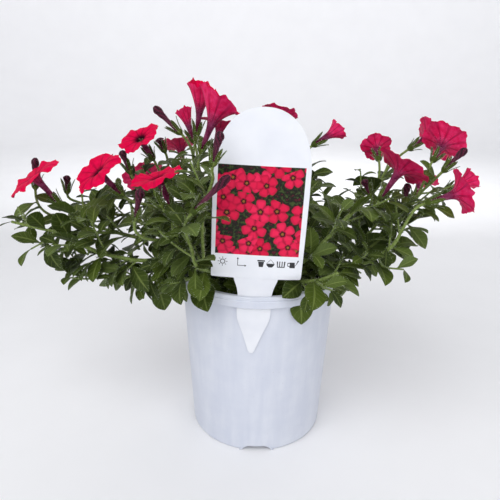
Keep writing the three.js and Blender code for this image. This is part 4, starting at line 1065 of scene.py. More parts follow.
def makePetalMaterial(name, look, isFace):
    # Petunia petal, grown: velvety, with folds and veins that run out from the throat
    material, tree, shader = startMaterial(name, {
        "Roughness": 0.6, "IOR": 1.4, "Specular IOR Level": 0.07 if isFace else 0.2,
        "Sheen Weight": 0.0 if isFace else 0.08, "Sheen Roughness": 0.4, "Sheen Tint": linearColour("#ff7aa0")})
    x, y, along = placeParts(tree)
    space = surfaceSpace(tree)
    angle = addNode(tree, "Math", [y, x], operation="ARCTAN2")
    mottle = addNode(tree, "TexNoise", {"Vector": space, "Scale": repeats(look["mottle"]), "Detail": 3.0})
    petals = addNode(tree, "Math", [angle, 5.0], operation="MULTIPLY")
    lobe = addNode(tree, "Math", [petals], operation="COSINE")
    midrib = addNode(tree, "MapRange", [lobe, 0.9, 1.0, 0.0, 0.8], interpolation_type="SMOOTHSTEP")
    crease = addNode(tree, "MapRange", [lobe, -0.8, -1.0, 0.0, 0.7], interpolation_type="SMOOTHSTEP")
    bend = addNode(tree, "Math", [mottle, 1.6, angle], operation="MULTIPLY_ADD")
    many = addNode(tree, "Math", [bend, 35.0], operation="MULTIPLY")
    fine = addNode(tree, "Math", [many], operation="SINE")
    thread = addNode(tree, "MapRange", [fine, 0.55, 1.0, 0.0, 0.35])
    both = addNode(tree, "Math", [midrib, crease], operation="MAXIMUM")
    lines = addNode(tree, "Math", [both, thread], operation="MAXIMUM")
    fade = addNode(tree, "MapRange", [along, 0.5, 1.0, 1.0, 0.25])
    vein = addNode(tree, "Math", [lines, fade], operation="MULTIPLY")
    patch = addNode(tree, "MapRange", [mottle, 0.35, 0.7])
    if isFace:
        colour = mixColours(tree, patch, look["face"], look["faceBright"])
        colour = mixColours(tree, vein, colour, look["faceDeep"])
        # the face inside the tube and round the throat turns to the throat colour: partly its own colour, partly
        # painted shade in the tube
        inside = addNode(tree, "MapRange", [along, 0.47, 0.66, 1.0, 0.0], interpolation_type="SMOOTHSTEP")
        colour = mixColours(tree, inside, colour, look["throat"])
    else:
        colour = mixColours(tree, patch, look["back"], look["backPale"])
        colour = mixColours(tree, vein, colour, look["backVein"])
        tube = mixColours(tree, patch, look["tube"], look["tubePale"])
        narrow = addNode(tree, "MapRange", [along, 0.34, 0.66, 1.0, 0.0], interpolation_type="SMOOTHSTEP")
        colour = mixColours(tree, narrow, colour, tube)
    tree.links.new(colour, shader.inputs["Base Color"])
    grain = addNode(tree, "TexNoise", {"Vector": space, "Scale": repeats(look["grain"]), "Detail": 2.0})
    relief = addNode(tree, "Math", [vein, -1.2, grain], operation="MULTIPLY_ADD")
    crumple = addNode(tree, "Math", [mottle, 2.2, relief], operation="MULTIPLY_ADD")
    addBump(tree, shader, crumple, 0.45, 0.4)
    return material


# the grooves take the dark colour and the ridges the mid one: the difference between them is painted shade
budLook = {"dark": "#2a0a18", "mid": "#561530", "pale": "#7c4058", "grain": 0.8}


def makeBudMaterial(look):
    # Furled petunia bud, grown: near-black maroon pleats with a dusty, hairy surface
    material, tree, shader = startMaterial("furledPetal", {
        "Roughness": 0.6, "IOR": 1.4, "Specular IOR Level": 0.3, "Sheen Weight": 0.15, "Sheen Roughness": 0.4,
        "Sheen Tint": linearColour("#c48a9c")})
    x, y, along = placeParts(tree)
    angle = addNode(tree, "Math", [y, x], operation="ARCTAN2")
    petals = addNode(tree, "Math", [angle, 5.0], operation="MULTIPLY")
    pleat = addNode(tree, "Math", [petals], operation="COSINE")
    # the grooves between the pleats are painted darker than their ridges: painted shade in the folds
    pleatShade = addNode(tree, "MapRange", [pleat, -0.6, 1.0])
    low = addNode(tree, "MapRange", [along, 0.1, 0.75, 0.55, 0.0])
    colour = mixColours(tree, pleatShade, look["dark"], look["mid"])
    colour = mixColours(tree, low, colour, look["pale"])
    tree.links.new(colour, shader.inputs["Base Color"])
    grain = addNode(tree, "TexNoise", {"Vector": surfaceSpace(tree), "Scale": repeats(look["grain"]),
                                       "Detail": 2.0})
    addBump(tree, shader, grain, 0.4, 0.25)
    return material


# the anthers' colours are kept dark: partly pollen, partly painted shade from deep in the throat
antherLook = {"dust": "#7c6a44", "shade": "#33222c", "grain": 0.5}


def makeAntherMaterial(look):
    # Ripe anther, grown: dusty with pollen, in colours darkened partly by painted shade from deep in the throat
    material, tree, shader = startMaterial("pollenDustAndShade", {"Roughness": 0.85, "IOR": 1.45})
    noise = addNode(tree, "TexNoise", {"Vector": surfaceSpace(tree), "Scale": repeats(look["grain"])})
    tree.links.new(mixColours(tree, noise, look["shade"], look["dust"]), shader.inputs["Base Color"])
    return material


potLook = {"white": "#d9dde7", "shade": "#ced3e0", "mottle": 16.0, "flow": 7.0, "peel": 0.7, "speck": 5.5}


def makePotMaterial(look):
    # White polypropylene, injection moulded: satin, with faint flow marks up the wall and a slight orange peel
    material, tree, shader = startMaterial("mouldedPolypropylene", {
        "Roughness": 0.42, "IOR": 1.49, "Specular IOR Level": 0.5, "Subsurface Weight": 0.0})
    space = surfaceSpace(tree)
    squeezed = addNode(tree, "Mapping", {"Vector": space, "Scale": (1.0, 1.0, 0.12)})
    flow = addNode(tree, "TexNoise", {"Vector": squeezed, "Scale": repeats(look["flow"]), "Detail": 3.0})
    mottle = addNode(tree, "TexNoise", {"Vector": space, "Scale": repeats(look["mottle"]), "Detail": 4.0})
    tone = addNode(tree, "Math", [flow, mottle], operation="MULTIPLY")
    spread = addNode(tree, "MapRange", [tone, 0.15, 0.4])
    colour = mixColours(tree, spread, look["shade"], look["white"])
    speck = addNode(tree, "TexVoronoi", {"Vector": space, "Scale": repeats(look["speck"])})
    dust = addNode(tree, "MapRange", [speck, 0.03, 0.06, 0.35, 0.0])
    tree.links.new(mixColours(tree, dust, colour, "#8f8a84"), shader.inputs["Base Color"])
    rough = addNode(tree, "MapRange", [mottle, 0.3, 0.7, 0.36, 0.5])
    tree.links.new(rough, shader.inputs["Roughness"])
    peel = addNode(tree, "TexNoise", {"Vector": space, "Scale": repeats(look["peel"]), "Detail": 1.0})
    addBump(tree, shader, peel, 0.12, 0.12)
    return material


# the darkest colour is partly painted shade: the soil lies under the foliage
soilLook = {"dark": "#100b09", "brown": "#33241a", "fibre": "#5a4430", "crumb": 1.6, "strand": 0.9}


def makeSoilMaterial(look):
    # Peat and bark compost, milled and damp: crumbly, with brown fibres; near black, partly its own colour and
    # partly painted shade from the foliage above
    material, tree, shader = startMaterial("peatCompost", {"Roughness": 0.92, "IOR": 1.4})
    space = surfaceSpace(tree)
    crumb = addNode(tree, "TexNoise", {"Vector": space, "Scale": repeats(look["crumb"]), "Detail": 6.0})
    spread = addNode(tree, "MapRange", [crumb, 0.35, 0.7])
    strand = addNode(tree, "TexNoise", {"Vector": space, "Scale": repeats(look["strand"]), "Detail": 2.0,
                                        "Distortion": 2.0})
    fibre = addNode(tree, "MapRange", [strand, 0.64, 0.72, 0.0, 0.7])
    colour = mixColours(tree, spread, look["dark"], look["brown"])
    tree.links.new(mixColours(tree, fibre, colour, look["fibre"]), shader.inputs["Base Color"])
    addBump(tree, shader, crumb, 0.9, 0.8)
    return material


perliteLook = {"white": "#c9c6bd", "shade": "#8a857a", "pore": 0.6}


def makePerliteMaterial(look):
    # Expanded perlite, popped by heat: chalky white grains, dirty in their pores
    material, tree, shader = startMaterial("perlite", {"Roughness": 0.9, "IOR": 1.5})
    pores = addNode(tree, "TexNoise", {"Vector": surfaceSpace(tree), "Scale": repeats(look["pore"]),
                                       "Detail": 3.0})
    spread = addNode(tree, "MapRange", [pores, 0.35, 0.6])
    tree.links.new(mixColours(tree, spread, look["shade"], look["white"]), shader.inputs["Base Color"])
    addBump(tree, shader, pores, 0.6, 0.3)
    return material


labelLook = {
    "white": "#f0f2f6", "shade": "#dfe2ea", "mottle": 14.0, "grain": 0.5,
    "left": -26.0, "right": 25.4, "low": 154.4, "high": 209.6, "soften": 0.18,
    "leafDark": "#1c1a16", "leafGreen": "#3c4f24", "leafRed": "#5c1426",
    "petal": "#cc0438", "petalBright": "#ec2658", "petalDeep": "#860026", "centre": "#240610", "pollen": "#94602a",
    "bloom": 13.0, "foliage": 2.2,
}


def makeLabelMaterials(look):
    # White polypropylene sheet, die-cut: smooth satin; its front carries an offset print of a bed of red blossom
    made = []
    for name, printed in (("dieCutSheet", False), ("printedSheet", True)):
        material, tree, shader = startMaterial(name, {
            "Roughness": 0.38, "IOR": 1.49, "Specular IOR Level": 0.2 if printed else 0.45})
        space = surfaceSpace(tree)
        mottle = addNode(tree, "TexNoise", {"Vector": space, "Scale": repeats(look["mottle"]), "Detail": 2.0})
        colour = mixColours(tree, mottle, look["shade"], look["white"])
        if printed:
            colour = printNodes(tree, look, colour)
        tree.links.new(colour, shader.inputs["Base Color"])
        grain = addNode(tree, "TexNoise", {"Vector": space, "Scale": repeats(look["grain"])})
        addBump(tree, shader, grain, 0.05, 0.05)
        made.append(material)
    ink, tree, shader = startMaterial("offsetInk", {"Roughness": 0.45, "IOR": 1.5})
    grain = addNode(tree, "TexNoise", {"Vector": surfaceSpace(tree), "Scale": repeats(look["grain"])})
    tree.links.new(mixColours(tree, grain, "#15151a", "#2b2b31"), shader.inputs["Base Color"])
    return made + [ink]


def printNodes(tree, look, paper):
    place = placeVector(tree)
    x, y, _ = addNode(tree, "SeparateXYZ", [place]).node.outputs
    inside = []
    for socket, low, high in ((x, look["left"], look["right"]), (y, look["low"], look["high"])):
        shifted = addNode(tree, "Math", [socket, (low + high) / 2], operation="SUBTRACT")
        away = addNode(tree, "Math", [shifted], operation="ABSOLUTE")
        half = (high - low) / 2
        inside.append(addNode(tree, "MapRange", [away, half - look["soften"], half, 1.0, 0.0]))
    frameMask = addNode(tree, "Math", [inside[0], inside[1]], operation="MULTIPLY")
    foliage = addNode(tree, "TexNoise", {"Vector": place, "Scale": 1 / look["foliage"], "Detail": 4.0})
    greenShare = addNode(tree, "MapRange", [foliage, 0.5, 0.64])
    redShare = addNode(tree, "MapRange", [foliage, 0.42, 0.34, 0.0, 0.9])
    picture = mixColours(tree, greenShare, look["leafDark"], look["leafGreen"])
    picture = mixColours(tree, redShare, picture, look["leafRed"])
    for shift, size in ((37.0, look["bloom"] * 1.12), (0.0, look["bloom"])):  # two layers of five-petalled blossom
        moved = addNode(tree, "VectorMath", [place, (shift, shift * 0.7, 0.0)])
        cells = addNode(tree, "TexVoronoi", {"Vector": moved, "Scale": 1 / size, "Randomness": 0.7},
                        voronoi_dimensions="2D")
        arm = addNode(tree, "VectorMath", [moved, cells.node.outputs["Position"]], operation="SUBTRACT")
        armX, armY, _ = addNode(tree, "SeparateXYZ", [arm]).node.outputs
        angle = addNode(tree, "Math", [armY, armX], operation="ARCTAN2")
        red, green, _ = addNode(tree, "SeparateColor", [cells.node.outputs["Color"]]).node.outputs
        turned = addNode(tree, "Math", [red, 6.0, angle], operation="MULTIPLY_ADD")
        petals = addNode(tree, "Math", [turned, 2.5], operation="MULTIPLY")
        lobe = addNode(tree, "Math", [petals], operation="COSINE")
        lobe = addNode(tree, "Math", [lobe], operation="ABSOLUTE")
        reach = addNode(tree, "MapRange", [lobe, 0.0, 0.8, 0.36, 0.54], interpolation_type="SMOOTHSTEP")
        part = addNode(tree, "Math", [cells, reach], operation="DIVIDE")
        mask = addNode(tree, "MapRange", [part, 0.93, 1.0, 1.0, 0.0])
        present = addNode(tree, "Math", [green, 0.18 if shift else 0.3], operation="GREATER_THAN")
        mask = addNode(tree, "Math", [mask, present], operation="MULTIPLY")
        petal = mixColours(tree, red, look["petal"], look["petalBright"])
        edge = addNode(tree, "MapRange", [lobe, 0.75, 0.0, 0.0, 0.75])
        rim = addNode(tree, "MapRange", [part, 0.72, 1.0, 0.0, 0.5])
        dark = addNode(tree, "Math", [edge, rim], operation="MAXIMUM")
        petal = mixColours(tree, dark, petal, look["petalDeep"])
        eye = addNode(tree, "MapRange", [part, 0.2, 0.34, 1.0, 0.0])
        petal = mixColours(tree, eye, petal, look["centre"])
        dot = addNode(tree, "MapRange", [part, 0.09, 0.15, 1.0, 0.0])
        petal = mixColours(tree, dot, petal, look["pollen"])
        picture = mixColours(tree, mask, picture, petal)
    return mixColours(tree, frameMask, paper, picture)


leafMaterial = makeLeafMaterial(leafLook)
stemMaterial = makeStemMaterial(stemLook)
hairMaterial = makeHairMaterial("plantHair", "#bccaa4", "#f2f6e8")
petalHairMaterial = makeHairMaterial("petalHair", "#8a4a66", "#d9b4c4")
backMaterial = makePetalMaterial("petalBack", petalLook, False)
faceMaterial = makePetalMaterial("petalFace", petalLook, True)
budMaterial = makeBudMaterial(budLook)
antherMaterial = makeAntherMaterial(antherLook)
print("materials made")


# Pot: a lathed shell with a stepped rim, three arched channels across its foot, drain holes and the label's slot
potForm = {"sides": 144, "wallLevels": (2.5, 3.5, 4.5, 5.5, 7, 10, 16, 30, 50, 70, 90, 105, 116),
           "innerLevels": (110, 60, 20), "footRound": 1.6, "rimRound": 0.8, "groove": 0.35, "grooveLevel": 3.0,
           "archSteps": 7, "archFoot": 1.2, "archTop": 0.8, "holeSides": 24, "holeSpan": (-5.0,
                                                                                          15.0), "slotSteps": 13}


def lathe(outline, sides):
    outline = np.array(outline, float)
    rows = len(outline)
    rings = onRings(outline[:, 1:] * up, [1.0, 0, 0], [0, 1.0, 0], outline[:, :1], fullTurn(sides))
    return loft(rings, ringPlace(rows, sides, outline[:, 1]), 0)


def roundCorner(centre, radius, first, last, steps=4):
    return [[centre[0] + radius * math.cos(math.radians(angle)), centre[1] + radius * math.sin(math.radians(angle))]
            for angle in np.linspace(first, last, steps + 1)]


def potOutline():
    form, height, under = potForm, pot["height"], pot["height"] - pot["rimDepth"]
    foot, rim, skirt = form["footRound"], pot["rimRadius"], pot["skirt"]
    outline = [[0.01, 0], [20, 0], [40, 0]]
    outline += roundCorner([wallRadius(0) - foot, foot], foot, -90, 0)
    outline += [[wallRadius(level), level] for level in form["wallLevels"]]
    flange, line = height - pot["flange"], height - form["grooveLevel"]
    outline += [[wallRadius(height) - 0.05, flange - 0.6], [wallRadius(height) + 0.5, flange]]
    outline += [[rim - skirt, flange - 0.2], [rim - skirt, under + 0.2], [rim - skirt + 0.2, under]]
    outline += [[rim - 0.2, under], [rim, under + 0.25]]
    outline += [[rim, line - 0.5], [rim - form["groove"], line - 0.1], [rim - form["groove"], line + 0.2],
                [rim, line + 0.6]]
    outline += roundCorner([rim - form["rimRound"], height - form["rimRound"]], form["rimRound"], 0, 90)
    inner = wallRadius(height) - pot["wall"]
    outline += [[inner + 0.6, height], [inner + 0.2, height - 0.15], [inner, height - 0.6]]
    outline += [[wallRadius(level) - pot["wall"], level] for level in form["innerLevels"] + (pot["floor"] + 1,)]
    return outline + [[wallRadius(0) - pot["wall"] - 1, pot["floor"]], [20, pot["floor"]], [0.01, pot["floor"]]]


def cutPot():
    form = potForm
    shell = makeObject("pot", [lathe(potOutline(), form["sides"])], [])

    def bar(extra, low, high):  # one channel's arch, or with extra thickness the roof over it
        foot = 0.1 if extra else 0.0
        half = [] if extra else [[channel["baseHalfWidth"] + form["archFoot"], -1.0]]
        for i in range(form["archSteps"] + 1):
            share = i / form["archSteps"]
            half.append([between(channel["baseHalfWidth"], channel["roofHalfWidth"] - form["archTop"],
                                 share) + extra,
                         max((channel["height"] + extra) * math.sin(share * math.pi / 2), foot)])
        section = half + [[-x, z] for x, z in reversed(half)]
        return plainLoft([[[x, -reach, z] for x, z in section] for reach in (low, high)])

    def spun(part, turn):
        c, s = math.cos(turn), math.sin(turn)
        return {**part, "points": part["points"] @ np.array([[c, s, 0], [-s, c, 0], [0, 0, 1]])}

    def drainHole():
        centres = np.array([[0, -drain["ringRadius"], level] for level in form["holeSpan"]])
        return plainLoft(onRings(centres, [1.0, 0, 0], [0, 1.0, 0], drain["radius"], fullTurn(form["holeSides"])))

    def slotPart():
        middle = wallRadius(pot["height"]) + label["gap"] + label["thickness"] / 2
        reach = label["thickness"] / 2 + label["gap"]
        centre = -math.pi / 2 + (label["tipX"] + (pot["height"] - label["tipLevel"]) * label["lean"]) / middle
        half = (labelHalfWidth(pot["height"]) + 3 * label["gap"]) / middle
        low, high = pot["height"] - pot["rimDepth"] / 2, pot["height"] + 4
        corners = ((middle - reach, low), (middle - reach, high), (middle + reach, high), (middle + reach, low))
        return plainLoft([[[radius * math.cos(turn), radius * math.sin(turn), level] for radius, level in corners]
                          for turn in np.linspace(centre - half, centre + half, form["slotSteps"])])

    turns = [2 * math.pi / channel["count"] * i for i in range(channel["count"])]
    roofs = [spun(bar(channel["roof"], channel["inner"] - channel["roof"], wallRadius(3) - 1),
                  turn) for turn in turns]
    cuts = [spun(bar(0, channel["inner"], channel["outer"]), turn) for turn in turns]
    cuts += [spun(drainHole(), turn) for turn in turns] + [slotPart()]
    for operation, parts in (("UNION", roofs), ("DIFFERENCE", cuts)):
        for part in parts:
            tool = makeObject("tool", [part], [])
            bpy.context.view_layer.update()
            modifier = shell.modifiers.new("cut", "BOOLEAN")
            modifier.operation, modifier.object, modifier.solver = operation, tool, "EXACT"
            bpy.context.view_layer.update()
            mesh = bpy.data.meshes.new_from_object(shell.evaluated_get(bpy.context.evaluated_depsgraph_get()))
            shell.modifiers.clear()
            shell.data = mesh
            bpy.data.objects.remove(tool)
    return shell


def makePot():
    shell = cutPot()
    shell.data.materials.clear()
    shell.data.materials.append(makePotMaterial(potLook))
    shell.data.shade_smooth()
    shell.data.set_sharp_from_angle(angle=math.radians(35))
    finishPiece(shell, "pot")


makePot()
print("pot made")


# Soil: a lumpy bed with chips of bark and grains of perlite pressed into it
soilForm = {"sides": 96, "rings": 44, "rough": 0.8, "chips": 520, "chip": (0.9, 2.6), "perlite": 46,
            "grain": (0.8, 1.7), "crumbSides": 6, "crumbLevels": (-1, -0.55, 0.3, 0.95),
            "crumbRadii": (0.35, 0.9, 0.95, 0.3), "crumbVary": (0.7, 1.15), "crumbStretch": (0.5, 1.2),
            "crumbLift": 0.1, "crumbMargin": 2}


def soilHeight(x, y):
    radius, angle = np.hypot(x, y), np.arctan2(y, x)
    edge = wallRadius(soil["level"]) - pot["wall"] - soil["gap"]
    noise = np.sin(3 * angle + radius) * np.cos(5 * angle - 0.7 * radius)
    fine = (np.sin(x * 1.9 + 3 * np.sin(y * 0.7)) * np.cos(y * 1.7 + 2 * np.sin(x * 0.6))
            + 0.6 * np.sin(x * 3.7 + y * 2.9) * np.cos(y * 4.3 - x * 1.3))
    return (soil["level"] + soil["mound"] * (1 - radius / edge) + soil["bump"] * noise * np.clip(radius / 12, 0, 1)
            + soilForm["rough"] * fine * 0.6)


def flatRings(radii, levels, angles):  # rings about the upright middle line, one row a level
    return np.stack(np.broadcast_arrays(radii * np.cos(angles), radii * np.sin(angles), levels), -1)


def crumb(place, size, material):  # an irregular lump
    turn = Euler(rng.uniform(0, 6.28, 3)).to_matrix()
    stretch = rng.uniform(*soilForm["crumbStretch"], 3) * size / 2
    levels, radii = np.array([soilForm["crumbLevels"]]).T, np.array([soilForm["crumbRadii"]]).T
    radii = radii * rng.uniform(*soilForm["crumbVary"], (len(radii), soilForm["crumbSides"]))
    return plainLoft(flatRings(radii, levels,
                               fullTurn(soilForm["crumbSides"])) * stretch @ np.array(turn).T + place,
                     material)


def makeSoil():
    form = soilForm
    bottom = pot["floor"] + soil["gap"]
    edge = wallRadius(soil["level"]) - pot["wall"] - soil["gap"]
    angles = fullTurn(form["sides"])
    sideRings = flatRings(np.array([[12], [wallRadius(bottom) - pot["wall"] - soil["gap"]], [edge]]),
                          np.array([[bottom + 6], [bottom + 6], [soil["level"] - 1]]), angles)
    radii = np.linspace(edge - 0.2, 1.0, form["rings"])[:, None]
    levels = soilHeight(radii * np.cos(angles), radii * np.sin(angles))
    parts = [plainLoft(np.vstack([sideRings, flatRings(radii, levels, angles)]))]
    for number, (small, large), kind in ((form["chips"], form["chip"], 0), (form["perlite"], form["grain"], 1)):
        for _ in range(number):
            radius, angle = (edge - form["crumbMargin"]) * math.sqrt(rng.random()), rng.uniform(0, 2 * math.pi)
            x, y = radius * math.cos(angle), radius * math.sin(angle)
            parts.append(crumb([x, y, soilHeight(x, y) + form["crumbLift"]], rng.uniform(small, large), kind))
    piece = makeObject("pottingSoil", parts, [makeSoilMaterial(soilLook), makePerliteMaterial(perliteLook)], 60)
    finishPiece(piece, "soil")


makeSoil()
print("soil made")


# Label: one thin sheet with an arched top, a narrow neck and a pointed stake
labelForm = {"columns": 24, "arch": 28.5, "archStart": 204, "archTop": 242.6, "power": 2.2, "soften": 2.4,
             "shoulder": 138.8, "cornerLevels": (138.82, 139.4), "cornerHalves": (27.2, 27.9), "inkLift": 0.05,
             "paperLift": 1.6, "inkFoot": 0.02,  "iconLevel": 149.4, "iconScale": 1.22}
plainKind, printKind, inkKind = 0, 1, 2
icons = [  # simple care signs: each is its place across the label and the convex shapes that it is made of
    {"at": -21.0, "shapes": [{"disc": 1.35}, {"disc": 0.95, "paper": True}, {"rays": 8, "from": 1.75, "to": 2.5}]},
    {"at": -9.6, "shapes": [
        {"points": [[-1.9, -1.5], [-1.6, -1.5], [-1.6, 2.0], [-1.9, 2.0]]},
        {"points": [[-1.9, -1.8], [2.0, -1.8], [2.0, -1.5], [-1.9, -1.5]]},
        {"points": [[-2.3, 1.7], [-1.2, 1.7], [-1.75, 2.7]]}, {"points": [[1.8, -2.2], [2.8, -1.65],
                                                                          [1.8, -1.1]]}]},
    {"at": 2.6, "shapes": [
        {"points": [[-1.0, -1.9], [1.0, -1.9], [1.5, 0.9], [-1.5, 0.9]]},
        {"points": [[-1.9, 1.1], [1.9, 1.1], [1.9, 1.8], [-1.9, 1.8]]}]},
    {"at": 8.4, "shapes": [
        {"points": [[-0.8, -1.9], [0.8, -1.9], [1.8, -0.9], [2.1, 0.1], [-2.1, 0.1], [-1.8, -0.9]]},
        {"points": [[-1.95, 0.2], [-1.7, 0.2], [0.1, 2.3], [-0.1, 2.3]]},
        {"points": [[1.7, 0.2], [1.95, 0.2], [0.1, 2.3], [-0.1, 2.3]]}]},
    {"at": 14.9, "shapes": [
        {"points": [[-1.9, -1.8], [1.9, -1.8], [2.2, 1.5], [-2.2, 1.5]]},
        {"points": [[-1.5, -1.3], [-0.9, -1.3], [-0.9, 1.6], [-1.6, 1.6]], "paper": True},
        {"points": [[-0.4, -1.3], [0.3, -1.3], [0.3, 1.6], [-0.4, 1.6]], "paper": True},
        {"points": [[0.8, -1.3], [1.4, -1.3], [1.5, 1.6], [0.8, 1.6]], "paper": True}]},
    {"at": 22.0, "shapes": [
        {"points": [[-1.5, -1.8], [1.3, -1.8], [1.1, 1.2], [-1.3, 1.2]]},
        {"points": [[1.1, -0.9], [1.5, -0.6], [2.9, 1.6], [2.5, 1.8]]}, {"points": [[2.2, 1.5], [3.2, 1.9],
                                                                                    [2.6, 2.5]]},
        {"points": [[-2.6, -0.9], [-1.3, -1.2], [-1.3, -0.8], [-2.3, -0.6]]},
        {"points": [[-2.6, -0.9], [-2.3, -0.7], [-2.3, 0.7], [-2.6, 0.9]]},
        {"points": [[-2.3, 0.5], [-1.2, 0.7], [-1.2, 1.1], [-2.6, 0.9]]}]},
]


def labelEdge(level):  # half the label's width, with a true arch and softened curves
    form = labelForm
    if level > form["archStart"]:
        share = min((level - form["archStart"]) / (form["archTop"] - form["archStart"]), 1)
        return form["arch"] * (1 - share ** form["power"]) ** (1 / form["power"])
    if level > form["shoulder"]:
        return labelHalfWidth(max(level, label["outline"][7][0]))
    around = level + np.linspace(-1, 1, 9) * form["soften"]
    around = np.clip(around, label["tipLevel"], form["shoulder"] - 0.3)
    halves = [labelHalfWidth(value) for value in around]
    return float(np.mean(halves)) * min(1, 0.55 + (level - label["tipLevel"]) / 3)


def makeLabel():
    form = labelForm
    arch = form["archStart"] + (form["archTop"] - form["archStart"]) * np.sin(np.linspace(0, 1,
                                                                                          22)[1:] * math.pi / 2)
    low = np.concatenate([[label["tipLevel"], label["tipLevel"] + 0.7], np.linspace(86, 138, 34),
                          [form["shoulder"]]])
    panel = np.concatenate([form["cornerLevels"], [140.2], np.linspace(142, form["archStart"], 26)])
    levels = np.concatenate([low, panel, arch])
    halves = [max(labelEdge(level), 0.4) for level in levels]
    halves[len(low):len(low) + 2] = form["cornerHalves"]  # the panel's lower corners are barely rounded
    across = np.linspace(-1, 1, form["columns"] + 1)
    half = label["thickness"] / 2
    front, back, place = (np.array([[point(level, a * width) for a in across] for level,
                                    width in zip(levels, halves)])
                          for point in (lambda level, x: labelPoint(level, x, -half),
                                        lambda level, x: labelPoint(level, x, half),
                                        lambda level, x: [x, level, 0]))
    body = sheet(front, back, place, plainKind)
    body["quadKinds"][:(len(levels) - 1) * form["columns"]] = printKind
    parts = [body]
    for icon in icons:
        for shape in icon["shapes"]:
            for points in iconOutlines(shape):
                lift = form["inkLift"] * (form["paperLift"] if "paper" in shape else 1)
                points = np.array(points)[::-1] * form["iconScale"]
                parts.append(plainLoft([[labelPoint(form["iconLevel"] + z, icon["at"] + x, -half + depth)
                                         for x, z in points] for depth in (form["inkFoot"], -lift)],
                                       plainKind if "paper" in shape else inkKind))
    piece = makeObject("plantLabel", parts, makeLabelMaterials(labelLook), 50)
    finishPiece(piece, "label")


def iconOutlines(shape):
    if "disc" in shape:
        return [flatRings(shape["disc"], 0, fullTurn(20))[:, :2]]
    if "rays" in shape:
        rays = []
        for angle in fullTurn(shape["rays"]):
            along, side = np.array([math.cos(angle), math.sin(angle)]), np.array([-math.sin(angle),
                                                                                  math.cos(angle)])
            rays.append([along * reach + side * half for reach, half in (
                (shape["from"], -0.2), (shape["to"], -0.1), (shape["to"], 0.1), (shape["from"], 0.2))])
        return rays
    return [shape["points"]]


makeLabel()
print("label made")


# Leafy stems: the laid-out leaves, and short leafy side shoots that fill the plant out
fillForm = {"spacing": 10.0, "first": 0.16, "length": (15, 27), "lean": 0.95, "rise": 0.35, "leaves": 5,
            "leafLength": (13, 21), "radius": (0.75, 0.5), "ease": 0.55, "tries": 6, "seed": 7001,
            "twig": (0.6, 0.5), "labelMargin": 4, "labelFrom": 128}
# the plant's outline from the front: the lowest and highest that a filling leaf may hang or stand, by x
lowest = [[-176, 154], [-145, 128], [-138, 119], [-100, 118], [-75, 106], [-60, 98], [0, 90], [50, 102], [62, 117],
          [86, 127], [100, 135], [112, 141], [120, 158], [136, 170]]
highest = [[-170, 170], [-140, 178], [-110, 186], [-90, 197], [-75, 208], [-50, 224], [-30, 226], [30, 198],
           [60, 190], [90, 192], [120, 198], [140, 184]]
# large leaves that stand out in the plant: the stem that bears each, where its stalk begins, and its tip
aimedLeaves = {
    "stem_left_far": [[-158, 2, 170, -173, -6, 164], [-138, -11, 172, -150, -13, 181],
        [-135, -7, 162, -155, -9, 161], [-133, -8, 157, -156, -12, 147], [-123, -18, 153, -136, -22, 139],
        [-117, -17, 155, -126, -22, 166], [-126, -12, 167, -104, -16, 178]],
    "stem_trailing_left": [[-132, -6, 124, -142, -9, 133], [-132, -6, 124, -146, -9, 126],
        [-132, -6, 123, -141, -9, 117], [-87, -13, 124, -97, -17, 112], [-64, -15, 130, -57, -22, 113],
        [-74, -14, 121, -65, -20, 97]],
    "stem_left_low": [[-115, -28, 142, -122, -31, 150], [-87, -28, 137, -102, -31, 119]],
    "stem_label_left": [[-39, -67, 148, -39, -72, 131], [-42, -68, 162, -62, -70, 158],
        [-42, -72, 174, -60, -74, 169], [-41, -70, 172, -33, -77, 188], [-41, -63, 149, -30, -71, 155],
        [-41, -66, 189, -52, -65, 200], [-40, -62, 157, -56, -66, 146]],
    "stem_right_low": [[41, -25, 132, 53, -30, 107], [81, -41, 154, 82, -44, 140], [60, -31, 142, 65, -34, 125],
        [85, -41, 154, 100, -44, 151], [107, -39, 182, 123, -42, 178]],
    "stem_right_long": [[71, -10, 141, 87, -14, 125], [119, -6, 192, 110, -9, 206],
        [80, -22, 182, 93, -26, 167], [80, -18, 168, 93, -22, 156]],
    "stem_front_right_low": [[50, -50, 141, 59, -53, 130], [26, -44, 131, 28, -58, 108],
        [22, -38, 129, 11, -47, 118]],
    "stem_right_inner": [[35, 5, 190, 49, 3, 197]],
    "stem_right_front": [[60, -31, 174, 46, -34, 187], [51, -36, 168, 35, -39, 177]],
    "stem_front_left_low": [[-38, -41, 131, -24, -46, 124]],
}


def aimLeaf(stem, axes, root, tip):  # a leaf from the nearest place on its stem, on a short twig where that is away
    root, tip = np.array(root, float), np.array(tip, float)
    places = [(np.linalg.norm(pointAt(axis["tube"], share) - root), pointAt(axis["tube"], share))
              for axis in axes for share in np.linspace(0.2, 1, 60)]
    gap, start = min(places, key=lambda place: place[0])
    twig = None
    if gap > 2:
        twig = smoothPath([start, between(start, root, 0.6) + up * gap * 0.08, root])
        start = root
    along = unit(tip - start)
    side = unit(np.cross(along, unit(np.array([0, -0.45, 1.0]))))
    leaf = {"owner": stem["name"], "root": start, "along": along, "side": side, "face": np.cross(side, along),
            "length": float(np.linalg.norm(tip - start)) * 1.03, "bend": 0.35}
    take(leafSamples(leaf), clear["leaf"], stem["name"], True)
    return twig, leaf


def twigAxis(path, radii, leaves):
    return {"path": path, "tube": path, "radii": radii, "flower": None, "leaves": None, "grown": leaves}


def outsidePlant(points):
    x, z = points[:, 0], points[:, 2]
    low, high = np.array(lowest), np.array(highest)
    return bool(((z < np.interp(x, low[:, 0], low[:, 1])) | (z > np.interp(x, high[:, 0], high[:, 1]))
                 | (x < low[0, 0]) | (x > low[-1, 0] + 4)).any())


